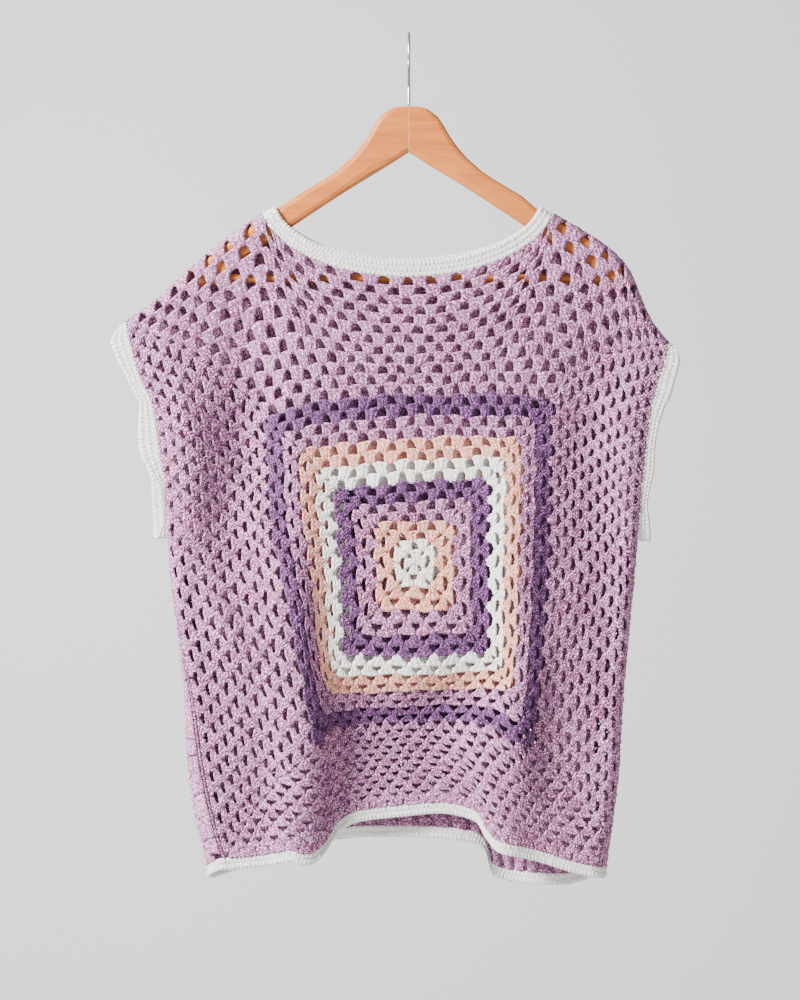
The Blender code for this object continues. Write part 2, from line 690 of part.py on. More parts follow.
def make_arm(name, side):
    """Loft of upright rounded sections along the arm, from the middle joint to its tip.
    The end of the arm reaches lower, as the lug that takes the trouser bar."""
    distance = np.concatenate([
        np.linspace(ARM_TOP[0][0], 60, 11), np.linspace(75, LUG_START - 0.5, 9),
        np.linspace(LUG_START, ARM_END - ARM_TIP_ROUND, 5), [ARM_END],
    ])
    top = arm_top(distance, side)
    bottom = read(ARM_BOTTOM, 1, distance)
    lug = distance >= LUG_START
    bottom = np.where(lug, np.minimum(bottom, BAR_Z - BAR_RADIUS - LUG_BELOW_BAR), bottom)
    thick = np.full_like(distance, ARM_HALF_THICK)
    thick[-1] = ARM_HALF_THICK - ARM_TIP_ROUND
    slope = np.gradient(top, distance)
    corners = ARM_HALF_THICK * np.hypot(1, np.clip(slope, -STEEPEST, STEEPEST))
    angles = np.linspace(0, math.pi, 6)
    verts, sides = [], 12
    for x, high, low, half, corner in zip(distance, top, bottom, thick, corners):
        for a in angles:
            verts.append((side * x, half * math.cos(a), high - corner + corner * math.sin(a)))
        for a in angles:
            verts.append((side * x, -half * math.cos(a), low + corner - corner * math.sin(a)))
    faces = []
    for i in range(len(distance) - 1):
        for j in range(sides):
            n = (j + 1) % sides
            faces.append((i * sides + j, i * sides + n, (i + 1) * sides + n, (i + 1) * sides + j))
    last = (len(distance) - 1) * sides
    faces.append(tuple(range(sides))[::-1])
    faces.append(tuple(range(last, last + sides)))
    make_object(name, verts, faces, WOOD, WOOD_ROUGH)


def tube(name, path, radius, sides, colour, roughness, metallic=0.0):
    """Round bar along a path that lies in a plane across X or along it."""
    path = np.asarray(path, float)
    along = unit(np.gradient(path, axis=0))
    guide = np.array([1.0, 0, 0]) if abs(along[0][0]) < 0.5 else np.array([0, 0, 1.0])
    first = unit(np.cross(along, guide))
    second = unit(np.cross(along, first))
    angle = np.arange(sides) * 2 * math.pi / sides
    ring = (first[:, None] * np.cos(angle)[None, :, None]
            + second[:, None] * np.sin(angle)[None, :, None])
    verts = (path[:, None] + radius * ring).reshape(-1, 3)
    faces = []
    for i in range(len(path) - 1):
        for j in range(sides):
            n = (j + 1) % sides
            faces.append((i * sides + j, i * sides + n, (i + 1) * sides + n, (i + 1) * sides + j))
    last = (len(path) - 1) * sides
    faces.append(tuple(range(sides))[::-1])
    faces.append(tuple(range(last, last + sides)))
    make_object(name, verts, faces, colour, roughness, metallic)


def make_bar():
    path = [(x, 0, BAR_Z) for x in (-BAR_END, 0, BAR_END)]
    tube("hanger_bar", path, BAR_RADIUS, 12, WOOD, WOOD_ROUGH)


def make_hook():
    """Wire hook in the plane across the arms: stem, a bend to the back, then the round."""
    centre_z = -(HOOK_RADIUS - HOOK_WIRE)
    stem = [(0, 0, z) for z in np.linspace(HOOK_FOOT_Z, HOOK_STEM_TOP, 4)]
    join_y = HOOK_RADIUS * math.cos(HOOK_START)
    join_z = centre_z + HOOK_RADIUS * math.sin(HOOK_START)
    bend = []
    for t in (0.25, 0.5, 0.75):
        lean = join_y * HOOK_LEAN * float(ramp(t, 0, 1))
        bend.append((0, lean, HOOK_STEM_TOP + (join_z - HOOK_STEM_TOP) * t))
    angles = np.linspace(HOOK_START, math.pi - HOOK_TIP_ANGLE, 26)
    bow = [(0, HOOK_RADIUS * math.cos(a), centre_z + HOOK_RADIUS * math.sin(a)) for a in angles]
    tube("hanger_hook", stem + bend + bow, HOOK_WIRE, 8, STEEL, STEEL_ROUGH, 1.0)


def main():
    for thing in list(bpy.data.objects):
        bpy.data.objects.remove(thing, do_unlink=True)
    make_square("front", FRONT)
    make_square("back", BACK)
    make_neck_edging()
    make_cuff_edging("cuff_edging_left", -1)
    make_cuff_edging("cuff_edging_right", 1)
    make_hem_edging()
    make_side_seam("side_seam_left", LEFT_SIDE, -1)
    make_side_seam("side_seam_right", RIGHT_SIDE, 1)
    make_shoulder_seam("shoulder_seam_left", SHOULDER_LEFT)
    make_shoulder_seam("shoulder_seam_right", SHOULDER_RIGHT)
    make_arm("hanger_arm_left", -1)
    make_arm("hanger_arm_right", 1)
    make_bar()
    make_hook()


main()
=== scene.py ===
"""Crochet top of two granny squares, hung on a wooden hanger, seen as in the photograph."""

import math

import bmesh
import bpy
import numpy as np
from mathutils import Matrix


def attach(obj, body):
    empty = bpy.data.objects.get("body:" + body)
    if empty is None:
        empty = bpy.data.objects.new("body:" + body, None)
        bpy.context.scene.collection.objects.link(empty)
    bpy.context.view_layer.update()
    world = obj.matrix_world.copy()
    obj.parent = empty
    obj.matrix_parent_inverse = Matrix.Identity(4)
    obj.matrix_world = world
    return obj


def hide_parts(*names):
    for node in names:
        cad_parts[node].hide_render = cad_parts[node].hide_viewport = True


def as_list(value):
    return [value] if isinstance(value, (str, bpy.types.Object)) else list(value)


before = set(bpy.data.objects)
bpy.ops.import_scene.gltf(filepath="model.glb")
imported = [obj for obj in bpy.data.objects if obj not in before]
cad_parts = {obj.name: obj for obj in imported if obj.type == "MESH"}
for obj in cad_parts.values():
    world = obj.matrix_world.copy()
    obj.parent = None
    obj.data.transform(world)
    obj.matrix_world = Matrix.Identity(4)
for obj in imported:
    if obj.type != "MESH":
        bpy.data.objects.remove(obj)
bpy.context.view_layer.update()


# Camera, level with the middle of the top and square to it. At this distance a pixel of
# the 800 x 1000 picture covers 1.028 mm at the cloth.
VIEW_X = -9.25
VIEW_Z = -481.0
VIEW_Y = -2200.0
CLOTH_Y = -12.0
PIXEL = 1.028
PICTURE_PIXELS = 1000
SENSOR = 24.0


def put(name, data):
    """A new object with this data, linked into the scene."""
    made = bpy.data.objects.new(name, data)
    bpy.context.collection.objects.link(made)
    return made


lens = bpy.data.cameras.new("camera")
lens.sensor_fit = "VERTICAL"
lens.sensor_height = SENSOR
lens.lens = SENSOR * (CLOTH_Y - VIEW_Y) / (PICTURE_PIXELS * PIXEL)
lens.clip_end = 20.0
camera = put("camera", lens)
camera.location = (VIEW_X / 1000, VIEW_Y / 1000, VIEW_Z / 1000)
camera.rotation_euler = (math.radians(90), 0, 0)
bpy.context.scene.camera = camera


# Materials are put together through one small class: a node's sockets are set or linked by
# name, and arithmetic on what comes back adds its own nodes.
class Field:
    """A value or colour that varies over a surface."""

    def __init__(self, finish, socket):
        self.finish = finish
        self.socket = socket

    def maths(self, operation, *inputs):
        return self.finish.node("ShaderNodeMath", {"operation": operation},
                                dict(enumerate(inputs)))

    def __add__(self, other):
        return self.maths("ADD", self, other)

    def __radd__(self, other):
        return self.maths("ADD", other, self)

    def __mul__(self, other):
        return self.maths("MULTIPLY", self, other)

    def wave(self):
        return self.maths("SINE", self)

    def between(self, low, high):
        """0 below low, 1 above high, with a soft rise between."""
        return self.finish.node("ShaderNodeMapRange", {"interpolation_type": "SMOOTHSTEP"},
                                {"Value": self, "From Min": low, "From Max": high})


class Finish:
    """A new material whose Principled shader takes fixed numbers and Fields."""

    def __init__(self, name, **fixed):
        self.material = bpy.data.materials.new(name)
        self.material.use_nodes = True
        self.tree = self.material.node_tree
        self.shader = self.tree.nodes["Principled BSDF"]
        for socket, number in fixed.items():
            self.feed(socket.replace("_", " "), number)

    def join(self, socket, value):
        if isinstance(value, Field):
            self.tree.links.new(value.socket, socket)
        else:
            socket.default_value = value

    def feed(self, name, value):
        self.join(self.shader.inputs[name], value)

    def node(self, kind, settings=None, sockets=None, out=0):
        made = self.tree.nodes.new(kind)
        for key, value in (settings or {}).items():
            setattr(made, key, value)
        for key, value in (sockets or {}).items():
            self.join(made.inputs[key], value)
        return Field(self, made.outputs[out])

    def mix(self, share, first, second):
        """Colour that goes from first to second as share goes from 0 to 1."""
        first, second = [c if isinstance(c, Field) else (*c, 1) for c in (first, second)]
        return self.node("ShaderNodeMix", {"data_type": "RGBA"},
                         {0: share, 6: first, 7: second}, out=2)

    def place(self):
        return self.node("ShaderNodeTexCoord", out=3)

    def noise(self, size, detail=2.0, stretch=None):
        """Noise whose grain is about size metres; stretch widens it along an axis."""
        place = self.place()
        if stretch:
            place = self.node("ShaderNodeMapping", {}, {"Vector": place, "Scale": stretch})
        return self.node("ShaderNodeTexNoise", {},
                         {"Vector": place, "Scale": 1 / size, "Detail": detail})

    def bump(self, *layers):
        """Feeds Normal from heights given as (field, depth in metres)."""
        normal = None
        for field, depth in layers:
            sockets = {"Height": field, "Distance": depth, "Strength": 1.0}
            if normal:
                sockets["Normal"] = normal
            normal = self.node("ShaderNodeBump", {}, sockets)
        self.feed("Normal", normal)


# Studio: a pale floor below and a pale backdrop far behind, under one big soft light from
# the upper left, a weak one from the right and an even sky.
PALE = (0.79, 0.79, 0.79)
PALER = (0.81, 0.81, 0.81)
STUDIO_HALF = 4
FLOOR_Z = -1.75
BACKDROP_Y = 2.5
BACKDROP_TOP = 2.5
LIGHT_AIM = (0.0, 0.0, -0.45)
SKY = 0.55


def studio_sheet(name, *edges):
    """A flat sheet between two edges, given as (y, z), left plain."""
    (y0, z0), (y1, z1) = edges
    mesh = bpy.data.meshes.new(name)
    mesh.from_pydata([(-STUDIO_HALF, y0, z0), (STUDIO_HALF, y0, z0), (STUDIO_HALF, y1, z1),
                      (-STUDIO_HALF, y1, z1)], [], [(0, 1, 2, 3)])
    sheet = put(name, mesh)
    paint = Finish(name, Roughness=0.95)
    paint.feed("Base Color", paint.mix(paint.noise(0.4).between(0.3, 0.7) * 0.2, PALE, PALER))
    sheet.data.materials.append(paint.material)


studio_sheet("floor", (-STUDIO_HALF, FLOOR_Z), (BACKDROP_Y, FLOOR_Z))
studio_sheet("backdrop", (BACKDROP_Y, FLOOR_Z), (BACKDROP_Y, BACKDROP_TOP))

for name, place, size, power in (
    ("key_light", (-1.9, -1.1, 0.7), 0.7, 305.0),
    ("fill_light", (2.0, -1.6, -0.2), 1.6, 8.0),
):
    lamp = bpy.data.lights.new(name, "AREA")
    lamp.size = size
    lamp.energy = power
    light = put(name, lamp)
    light.location = place
    toward = np.array(LIGHT_AIM) - np.array(place)
    light.rotation_euler = (
        math.atan2(math.hypot(toward[0], toward[1]), -toward[2]), 0,
        math.atan2(toward[1], toward[0]) - math.radians(90),
    )

sky = bpy.data.worlds.new("sky")
sky.use_nodes = True
for socket, value in (("Color", (1.0, 1.0, 1.0, 1)), ("Strength", SKY)):
    sky.node_tree.nodes["Background"].inputs[socket].default_value = value
bpy.context.scene.world = sky


# The two squares: big granny squares of cotton yarn, 28 rounds from the middle out, each
# round in clusters of three trebles worked into the gaps of the round before. They are
# joined at the shoulders and sides and hang as a flat tube. The tables are in millimetres
# and follow the CAD solids; (u, v) is a place in rounds from the middle of a square.
ROUNDS = 28
SEAM_GAP = 0.3
SEAM_STRIP = 3.0
SEAM_END = 0.07
SIDE_ALLOWANCE = 0.5 + SEAM_STRIP / 2
EDGING_GAP = 0.5
HEM_GAP = 0.65
NECK_ROUND = 13.0
NECK_BLEND = 0.4
SLEEVE_ROUND = 3.0
SLEEVE_ROUNDNESS = 0.3

NECK_CENTRE_X = -1.5
NECK_HALF_WIDTH = 149.5
NECK_END_Z = -186.0
NECK_ARC = math.radians(79.0)
NECK_BAND = 15.0
CUFF_BAND = 13.0
CUFF_FOOT = 0.3
SIDE_SEAM_START = 0.2
HEM_BAND = 11.0

ARCH_RADIUS = 8.5
ARCH_LIMIT = 0.998
ARCH_FROM_ROUND = 20.0
ARM_SLOPE = math.radians(31.0)
CREST_OVER_NECK = 26.0
CREST_NUDGE = 0.02

# How the rows of the squares follow the shoulders and are drawn to the side folds
EDGE_BLUR = 0.35
PULL_START = 16.0
PULL_SPAN = 12.0
SHOULDER_FROM = 13.05
SHOULDER_TO = 27.9
SLOPE_STEP = 0.02
NECK_STEPS = 721
SHOULDER_STEPS = 61

# Seam line from the sleeve's corner to the neck, left then right: round, x, z
SHOULDER_LEFT = (
    (-28, -292, -298), (-25, -268, -282), (-22, -242, -259),
    (-19, -219, -237), (-16, -188, -212), (-13, -151, -186),
)
SHOULDER_RIGHT = (
    (13, 148, -186), (16, 184, -207), (19, 213, -228), (21, 228, -247),
    (23, 238, -272), (25.5, 251, -299), (28, 268, -320),
)

# Cross rows of the squares above the hem: round u, x, z
ROW_UPPER = (
    (-28, -258, -405), (-22, -203, -394), (-16, -145, -380), (-8, -75, -377),
    (0, 2, -373), (8, 77, -373), (16, 146, -376), (22, 197, -396), (28, 246, -415),
)
ROW_MIDDLE = (
    (-28, -246, -556), (-22, -188, -549), (-16, -130, -546), (-8, -70, -545),
    (0, 6, -545), (8, 80, -543), (16, 141, -544), (22, 190, -551), (28, 234, -558),
)
ROW_ABOVE_MIDDLE = (
    (-28, -250, -470), (-16, -139, -467), (-8, -76, -469), (0, 3, -463), (8, 81, -459),
    (16, 144, -461), (28, 240, -480),
)
ROW_BELOW_MIDDLE = (
    (-28, -231, -640), (-16, -117, -641), (-8, -67, -641), (0, 7, -641), (8, 81, -637),
    (16, 135, -638), (28, 225, -640),
)
ROW_LOWER_FRONT = (
    (-28, -214, -722), (-22, -157, -730), (-16, -101, -735), (-13, -82, -717),
    (-4, -24, -711), (4, 36, -709), (9, 75, -709), (12, 98, -720), (16, 125, -735),
    (22, 176, -736), (28, 219, -735),
)
ROW_LOWER_BACK = (
    (-28, -236, -727), (-22, -190, -728), (-16, -139, -725), (-8, -70, -720),
    (0, 6, -718), (8, 70, -722), (16, 128, -728), (22, 172, -733), (28, 214, -735),
)
HEM_FRONT = (
    (-28, -188, -848), (-25, -163, -846), (-22, -143, -843), (-19, -118, -838),
    (-18, -111, -842), (-17, -102, -842), (-15.5, -89, -834), (-13, -73, -812),
    (-10, -53, -802), (-4, -5, -796), (0, 32, -793), (4, 69, -801), (6, 79, -816),
    (8, 91, -829), (12, 116, -835), (16, 140, -842), (20, 168, -851), (25, 201, -857),
    (28, 218, -855),
)
HEM_BACK = (
    (-28, -215, -848), (-24, -192, -861), (-18, -151, -840), (-12, -91, -826),
    (-6, -40, -820), (0, 16, -820), (6, 66, -825), (8, 78, -834), (10, 87, -860),
    (14, 114, -868), (20, 160, -870), (25, 188, -865), (28, 205, -857),
)

# Side edges down from the shoulder: round v, x of the edge or fold, z, and how far the
# seam lies to the front of the fold
LEFT_SIDE = (
    (28, -292, -298, 0), (22, -278, -352, 0), (18, -264, -383, 0), (12, -256, -432, 0),
    (7, -250, -479, 0), (3, -247, -523, 0), (0, -245, -556, 4), (-6, -238, -620, 10),
    (-12, -231, -685, 17), (-18, -228, -744, 23), (-24, -219, -806, 27),
    (-28, -207, -848, 28),
)
RIGHT_SIDE = (
    (28, 268, -320, 0), (22, 254, -366, 0), (18, 247, -400, 0), (12, 241, -450, 0),
    (7, 237, -489, 0), (3, 234, -525, 0), (0, 232, -556, -3), (-6, 227, -620, -8),
    (-12, 221, -687, -12), (-18, 217, -751, -15), (-24, 209, -812, -16),
    (-28, 203, -857, -16),
)

# Half depth of the hanging tube: round v, front, back
DEPTH = (
    (28, 8.5, 8.5), (22, 9.5, 9.0), (16, 11.0, 10.0), (0, 14.0, 12.0),
    (-16, 17.0, 14.0), (-28, 20.0, 16.0),
)

# Largest folds: top (u, v), bottom (u, v), half width in rounds, height towards the
# outside in mm, flatness (2 is a round ridge, 6 a flat trough with steep sides)
FOLDS_FRONT = (
    (-18, 2, -18.5, -28, 3.2, 9, 2),
    (-2.5, -8, -4.5, -28, 10.5, -19, 6),
    (15, -6, 9.5, -28, 3.4, 8, 2),
    (-20, 20, -19, 2, 3.2, -4, 2),
    (-25, 24, -25, 10, 2.6, 4, 2),
    (20, 21, 19, 2, 3, -4, 2),
    (24.5, 22, 25, 8, 2.6, 4, 2),
    (3, -1, -1, -14, 3.5, 3, 2),
)
FOLDS_BACK = (
    (-12, 4, -14, -28, 4, 6, 2),
    (3, 8, 4, -28, 4.5, -5, 2),
    (14, 2, 12.5, -28, 3.6, 7, 2),
    (20, 20, 19, 4, 3, -3, 2),
    (-19, 20, -20, 4, 3, -3, 2),
)
FOLD_FADE = 8.0


def smooth(nodes, values, t):
    """Smooth curve through the values at the nodes, with no overshoot, read at t."""
    nodes = np.asarray(nodes, float)
    t = np.asarray(t, float)
    values = np.asarray(values, float)
    if values.ndim == 1:
        values = np.repeat(values[:, None], t.size, axis=1)
    steps = np.diff(nodes)[:, None]
    slopes = np.diff(values, axis=0) / steps
    tangents = np.zeros_like(values)
    tangents[0] = slopes[0]
    tangents[-1] = slopes[-1]
    product = slopes[:-1] * slopes[1:]
    total = slopes[:-1] + slopes[1:]
    safe = np.where(product > 0, total, 1.0)
    tangents[1:-1] = np.where(product > 0, 2 * product / safe, 0.0)
    k = np.clip(np.searchsorted(nodes, t) - 1, 0, len(nodes) - 2)
    each = np.arange(t.size)
    h = steps[k, 0]
    s = (t - nodes[k]) / h
    low, high = values[k, each], values[k + 1, each]
    low_t, high_t = tangents[k, each] * h, tangents[k + 1, each] * h
    rise = s * s * (3 - 2 * s)
    bend = s * (1 - s)
    return low + (high - low) * rise + bend * ((1 - s) * low_t - s * high_t)


def column(table, index):
    return [row[index] for row in table]


def read(table, index, t):
    """One named column of a table, read smoothly at t; the tables run either way."""
    rows = sorted(table)
    return smooth(column(rows, 0), column(rows, index), t)


def ramp(t, start, end):
    """0 before start, 1 past end, with a soft rise between."""
    s = np.clip((t - start) / (end - start), 0, 1)
    return s * s * (3 - 2 * s)


def neck_curve(u, depth):
    """Lower arc of an ellipse for the neckline, with the rounds spaced evenly along it."""
    angle = np.linspace(-NECK_ARC, NECK_ARC, NECK_STEPS)
    x = NECK_CENTRE_X + NECK_HALF_WIDTH * np.sin(angle) / math.sin(NECK_ARC)
    z = NECK_END_Z - depth * (np.cos(angle) - math.cos(NECK_ARC)) / (1 - math.cos(NECK_ARC))
    length = np.concatenate([[0], np.cumsum(np.hypot(np.diff(x), np.diff(z)))])
    place = (np.clip(u, -NECK_ROUND, NECK_ROUND) / NECK_ROUND + 1) / 2 * length[-1]
    return np.interp(place, length, x), np.interp(place, length, z)


def top_edge(u, neck_depth):
    """Upper edge of a square: left shoulder, neckline, right shoulder."""
    x, z = neck_curve(u, neck_depth)
    for table, here in ((SHOULDER_LEFT, u < -NECK_ROUND), (SHOULDER_RIGHT, u > NECK_ROUND)):
        x = np.where(here, read(table, 1, u), x)
        z = np.where(here, read(table, 2, u), z)
    return x, z


def down_from(edge, u, neck_depth):
    """Direction in the plane of the top, down and square to one of its edges at round u."""
    xa, za = edge(u - SLOPE_STEP, neck_depth)
    xb, zb = edge(u + SLOPE_STEP, neck_depth)
    return unit(np.stack([zb - za, xa - xb], axis=-1))


def crest_line():
    """Line over which front and back meet: each shoulder seam, carried on up the arm."""
    lines = []
    for table, side in ((SHOULDER_LEFT, -1), (SHOULDER_RIGHT, 1)):
        u = np.linspace(table[0][0], table[-1][0], SHOULDER_STEPS)
        x, z = read(table, 1, u), read(table, 2, u)
        if side > 0:
            x, z = x[::-1], z[::-1]
        x = np.append(x, x[-1] - side * CREST_OVER_NECK * math.cos(ARM_SLOPE))
        z = np.append(z, z[-1] + CREST_OVER_NECK * math.sin(ARM_SLOPE))
        lines.append(np.stack([x, z], axis=1))
    return lines


def from_crest(x, z):
    """Offset in the plane of the top from the nearest point of a crest line."""
    best = np.full(np.shape(x), np.inf)
    offset = np.zeros(np.shape(x) + (2,))
    for line in crest_line():
        for a, b in zip(line[:-1], line[1:]):
            edge = b - a
            t = ((x - a[0]) * edge[0] + (z - a[1]) * edge[1]) / edge.dot(edge)
            t = np.clip(t, 0, 1)
            away = np.stack([x - a[0] - t * edge[0], z - a[1] - t * edge[1]], axis=-1)
            distance = np.hypot(away[..., 0], away[..., 1])
            nearer = distance < best
            best = np.where(nearer, distance, best)
            offset = np.where(nearer[..., None], away, offset)
    return offset


def arch(x, z):
    """0 on the crest line, rising as a quarter round to 1 an arch radius below it."""
    offset = from_crest(x, z)
    t = np.clip(np.hypot(offset[..., 0], offset[..., 1]) / ARCH_RADIUS, 0, 1)
    return np.sqrt(1 - (1 - t) ** 2)


def arch_normals(x, z, own_side):
    """Outward normals of the quarter round that leads down from the crest line."""
    over = arch(x, z)
    down = unit(from_crest(x, z - CREST_NUDGE))
    lift = np.sqrt(np.clip(1 - over ** 2, 0, 1))
    return np.stack([-down[..., 0] * lift, own_side * over, -down[..., 1] * lift], axis=-1)


def sleeve_opening(v):
    """How far the sleeve's edge is open at round v: 0 at its foot, soon 1 above it."""
    middle = (ROUNDS + SLEEVE_ROUND) / 2
    half = middle - SLEEVE_ROUND
    below = np.clip((middle - v) / half, 0, 1)
    return (1 - below ** 2) ** SLEEVE_ROUNDNESS


def side_edge(table, v, radius):
    """Fold line x, its z, and the seam's arc to the front of the fold, at round v."""
    edge_x = read(table, 1, v)
    z = read(table, 2, v)
    turn = np.arcsin(sleeve_opening(v))
    inward = radius * (1 - np.cos(turn))
    side = np.sign(table[0][1])
    fold_x = np.where(v > SLEEVE_ROUND, edge_x + side * inward, edge_x)
    arc = np.where(v > SLEEVE_ROUND, radius * turn, read(table, 3, v))
    return fold_x, z, arc


def fold_height(folds, u, v):
    """Sum of the ridges and troughs, each fading in below its top."""
    height = np.zeros_like(u)
    for top_u, top_v, low_u, low_v, width, rise, flatness in folds:
        along = np.clip((top_v - v) / (top_v - low_v), 0, 1)
        middle = top_u + (low_u - top_u) * along
        across = np.exp(-np.abs((u - middle) / width) ** flatness)
        fade_in = ramp(-v, -top_v, -top_v + FOLD_FADE)
        fade_out = 1 - ramp(-v, -low_v, -low_v + FOLD_FADE)
        height += rise * across * fade_in * fade_out
    return height


class Panel:
    """One square as it hangs. Own side is -1 for the front and 1 for the back."""

    def __init__(self, own_side, neck_depth, lower, hem, folds):
        self.own_side = own_side
        self.neck_depth = neck_depth
        self.rows = ((-28, hem), (-16, lower), (-8, ROW_BELOW_MIDDLE), (0, ROW_MIDDLE),
                     (8, ROW_ABOVE_MIDDLE), (16, ROW_UPPER))
        self.folds = folds

    def depth(self, v):
        front, back = read(DEPTH, 1, v), read(DEPTH, 2, v)
        return (front, back) if self.own_side < 0 else (back, front)

    def flat(self, u, v):
        """Place in the plane of the top before the side folds are turned."""
        blur = EDGE_BLUR * (ROUNDS - v)
        parts = [top_edge(np.clip(u + k * blur, -ROUNDS, ROUNDS), self.neck_depth)
                 for k in (-1, -0.5, 0, 0.5, 1)]
        tops = [sum(part) / len(parts) for part in zip(*parts)]
        nodes = [row[0] for row in self.rows] + [ROUNDS]
        return [smooth(nodes, [read(row[1], k, u) for row in self.rows] + [top], v)
                for k, top in enumerate(tops, 1)]

    def drawn(self, u, v, seam_allowance):
        """Place in the plane with the side edges drawn to the folds, and both folds' x."""
        own, other = self.depth(v)
        radius = (own + other) / 2
        x, z = self.flat(u, v)
        limits = []
        for table, side in ((LEFT_SIDE, -1), (RIGHT_SIDE, 1)):
            fold_x, edge_z, arc = side_edge(table, v, own)
            arc = np.where(v > SLEEVE_ROUND, arc, -self.own_side * arc)
            closed = 1 - ramp(v, SLEEVE_ROUND, SLEEVE_ROUND + 1)
            arc = arc + seam_allowance * closed
            edge_x = fold_x - side * (radius * (1 - math.pi / 2) + arc)
            here_x, here_z = self.flat(np.full_like(u, side * ROUNDS), v)
            near = np.clip((side * u - PULL_START) / PULL_SPAN, 0, 1) ** 2
            x = x + near * (edge_x - here_x)
            z = z + near * (edge_z - here_z)
            limits.append(fold_x)
        return x, z, limits

    def points(self, u, v, seam_allowance=SIDE_ALLOWANCE):
        """Middle of the wall at (u, v), as arrays x, y, z."""
        shape = np.broadcast(u, v).shape
        u = np.broadcast_to(np.asarray(u, float), shape).ravel()
        v = np.broadcast_to(np.asarray(v, float), shape).ravel()
        own, other = self.depth(v)
        radius = (own + other) / 2
        x, z, limits = self.drawn(u, v, seam_allowance)
        x, turn = self.turn_folds(x, limits[0], limits[1], radius)
        shoulder = ramp(np.abs(u), NECK_ROUND - NECK_BLEND, NECK_ROUND)
        shoulder = shoulder * ramp(v, ROUNDS - 1, ROUNDS)
        seam_angle = (SEAM_GAP + SEAM_STRIP / 2) / ARCH_RADIUS
        drop = ARCH_RADIUS * (1 - math.cos(seam_angle))
        along = np.sign(u) * np.clip(np.abs(u), SHOULDER_FROM, SHOULDER_TO)
        down = down_from(top_edge, along, self.neck_depth)
        x = x + drop * shoulder * down[..., 0]
        z = z + drop * shoulder * down[..., 1]
        over = np.where(v > ARCH_FROM_ROUND, arch(x, z), 1.0)
        folds = fold_height(self.folds, u, v) * np.clip(turn, 0, 1) * over
        depth = np.where(turn > 0, own * turn, other * turn)
        y = self.own_side * (depth * over + folds)
        return x.reshape(shape), y.reshape(shape), z.reshape(shape)

    @staticmethod
    def turn_folds(x, left, right, radius):
        """Wrap the flat sheet round each side fold. Gives x and the turn, 1 on the own
        side, 0 on the fold and -1 on the other side."""
        turn = np.ones_like(x)
        for fold, side in ((left, -1), (right, 1)):
            start = fold - side * radius
            past = side * (x - start) / radius
            angle = np.clip(past, 0, math.pi)
            beyond = np.maximum(past - math.pi, 0)
            bent = start + side * radius * (np.sin(angle) - beyond)
            x = np.where(past > 0, bent, x)
            turn = np.where(past > 0, np.cos(angle), turn)
        return x, turn


FRONT = Panel(-1, 65.0, ROW_LOWER_FRONT, HEM_FRONT, FOLDS_FRONT)
BACK = Panel(1, 60.0, ROW_LOWER_BACK, HEM_BACK, FOLDS_BACK)


TINY = 1e-9


def stack(x, y, z):
    return np.stack([x, y, z], axis=-1)


def unit(vectors):
    return vectors / np.maximum(np.linalg.norm(vectors, axis=-1, keepdims=True), TINY)


def surface_normals(panel, u, v):
    """Outward normals of a panel, from two small steps on its surface."""
    step = SLOPE_STEP
    uu = np.clip(u, -ROUNDS + step, ROUNDS - step)
    vv = np.clip(v, -ROUNDS + step, ROUNDS - step)
    along = stack(*panel.points(uu + step, vv)) - stack(*panel.points(uu - step, vv))
    up = stack(*panel.points(uu, vv + step)) - stack(*panel.points(uu, vv - step))
    normals = unit(np.cross(along, up)) * (-panel.own_side)
    x, _, z = panel.points(u, v)
    near_crest = (arch(x, z) < ARCH_LIMIT) & (v > ARCH_FROM_ROUND)
    return np.where(near_crest[..., None], arch_normals(x, z, panel.own_side), normals)


# The nets' form is worked out on even grids over a square. SHIFTS says where they are drawn
# out of their even place: u, v, aside, up, width in rounds
FORM_GRID = 337
DRIFT_GRID = 113
DRIFT_STEPS = 12
ROUND_MM = 9.6
NET_SPREAD = 1.012
WANDER_FADE = 6
CREASE_FADE = 10
SIDE_DRIFT = 0.5
# Waves by which stitches stray from even places: height, turn by u, turn by v, start
WANDER_U = ((0.13, 0.7, 1.9, 0), (0.09, 0.83, -1.31, 2))
WANDER_V = ((0.10, 1.7, -0.5, 1), (0.08, 0.61, 0.93, 0))
SHIFTS = ((-16, 16, -0.7, -1.2, 5), (-16, 5, -0.6, 0, 6))


def even_grid(count):
    """u and v at count by count places spread evenly over a square."""
    line = np.linspace(-ROUNDS, ROUNDS, count)
    return np.meshgrid(line, line, indexing="ij")


def within(t, power):
    """1 in the middle of a square, falling to 0 at its edge by a power of t."""
    return 1 - (np.clip(np.abs(t), 0, ROUNDS) / ROUNDS) ** power


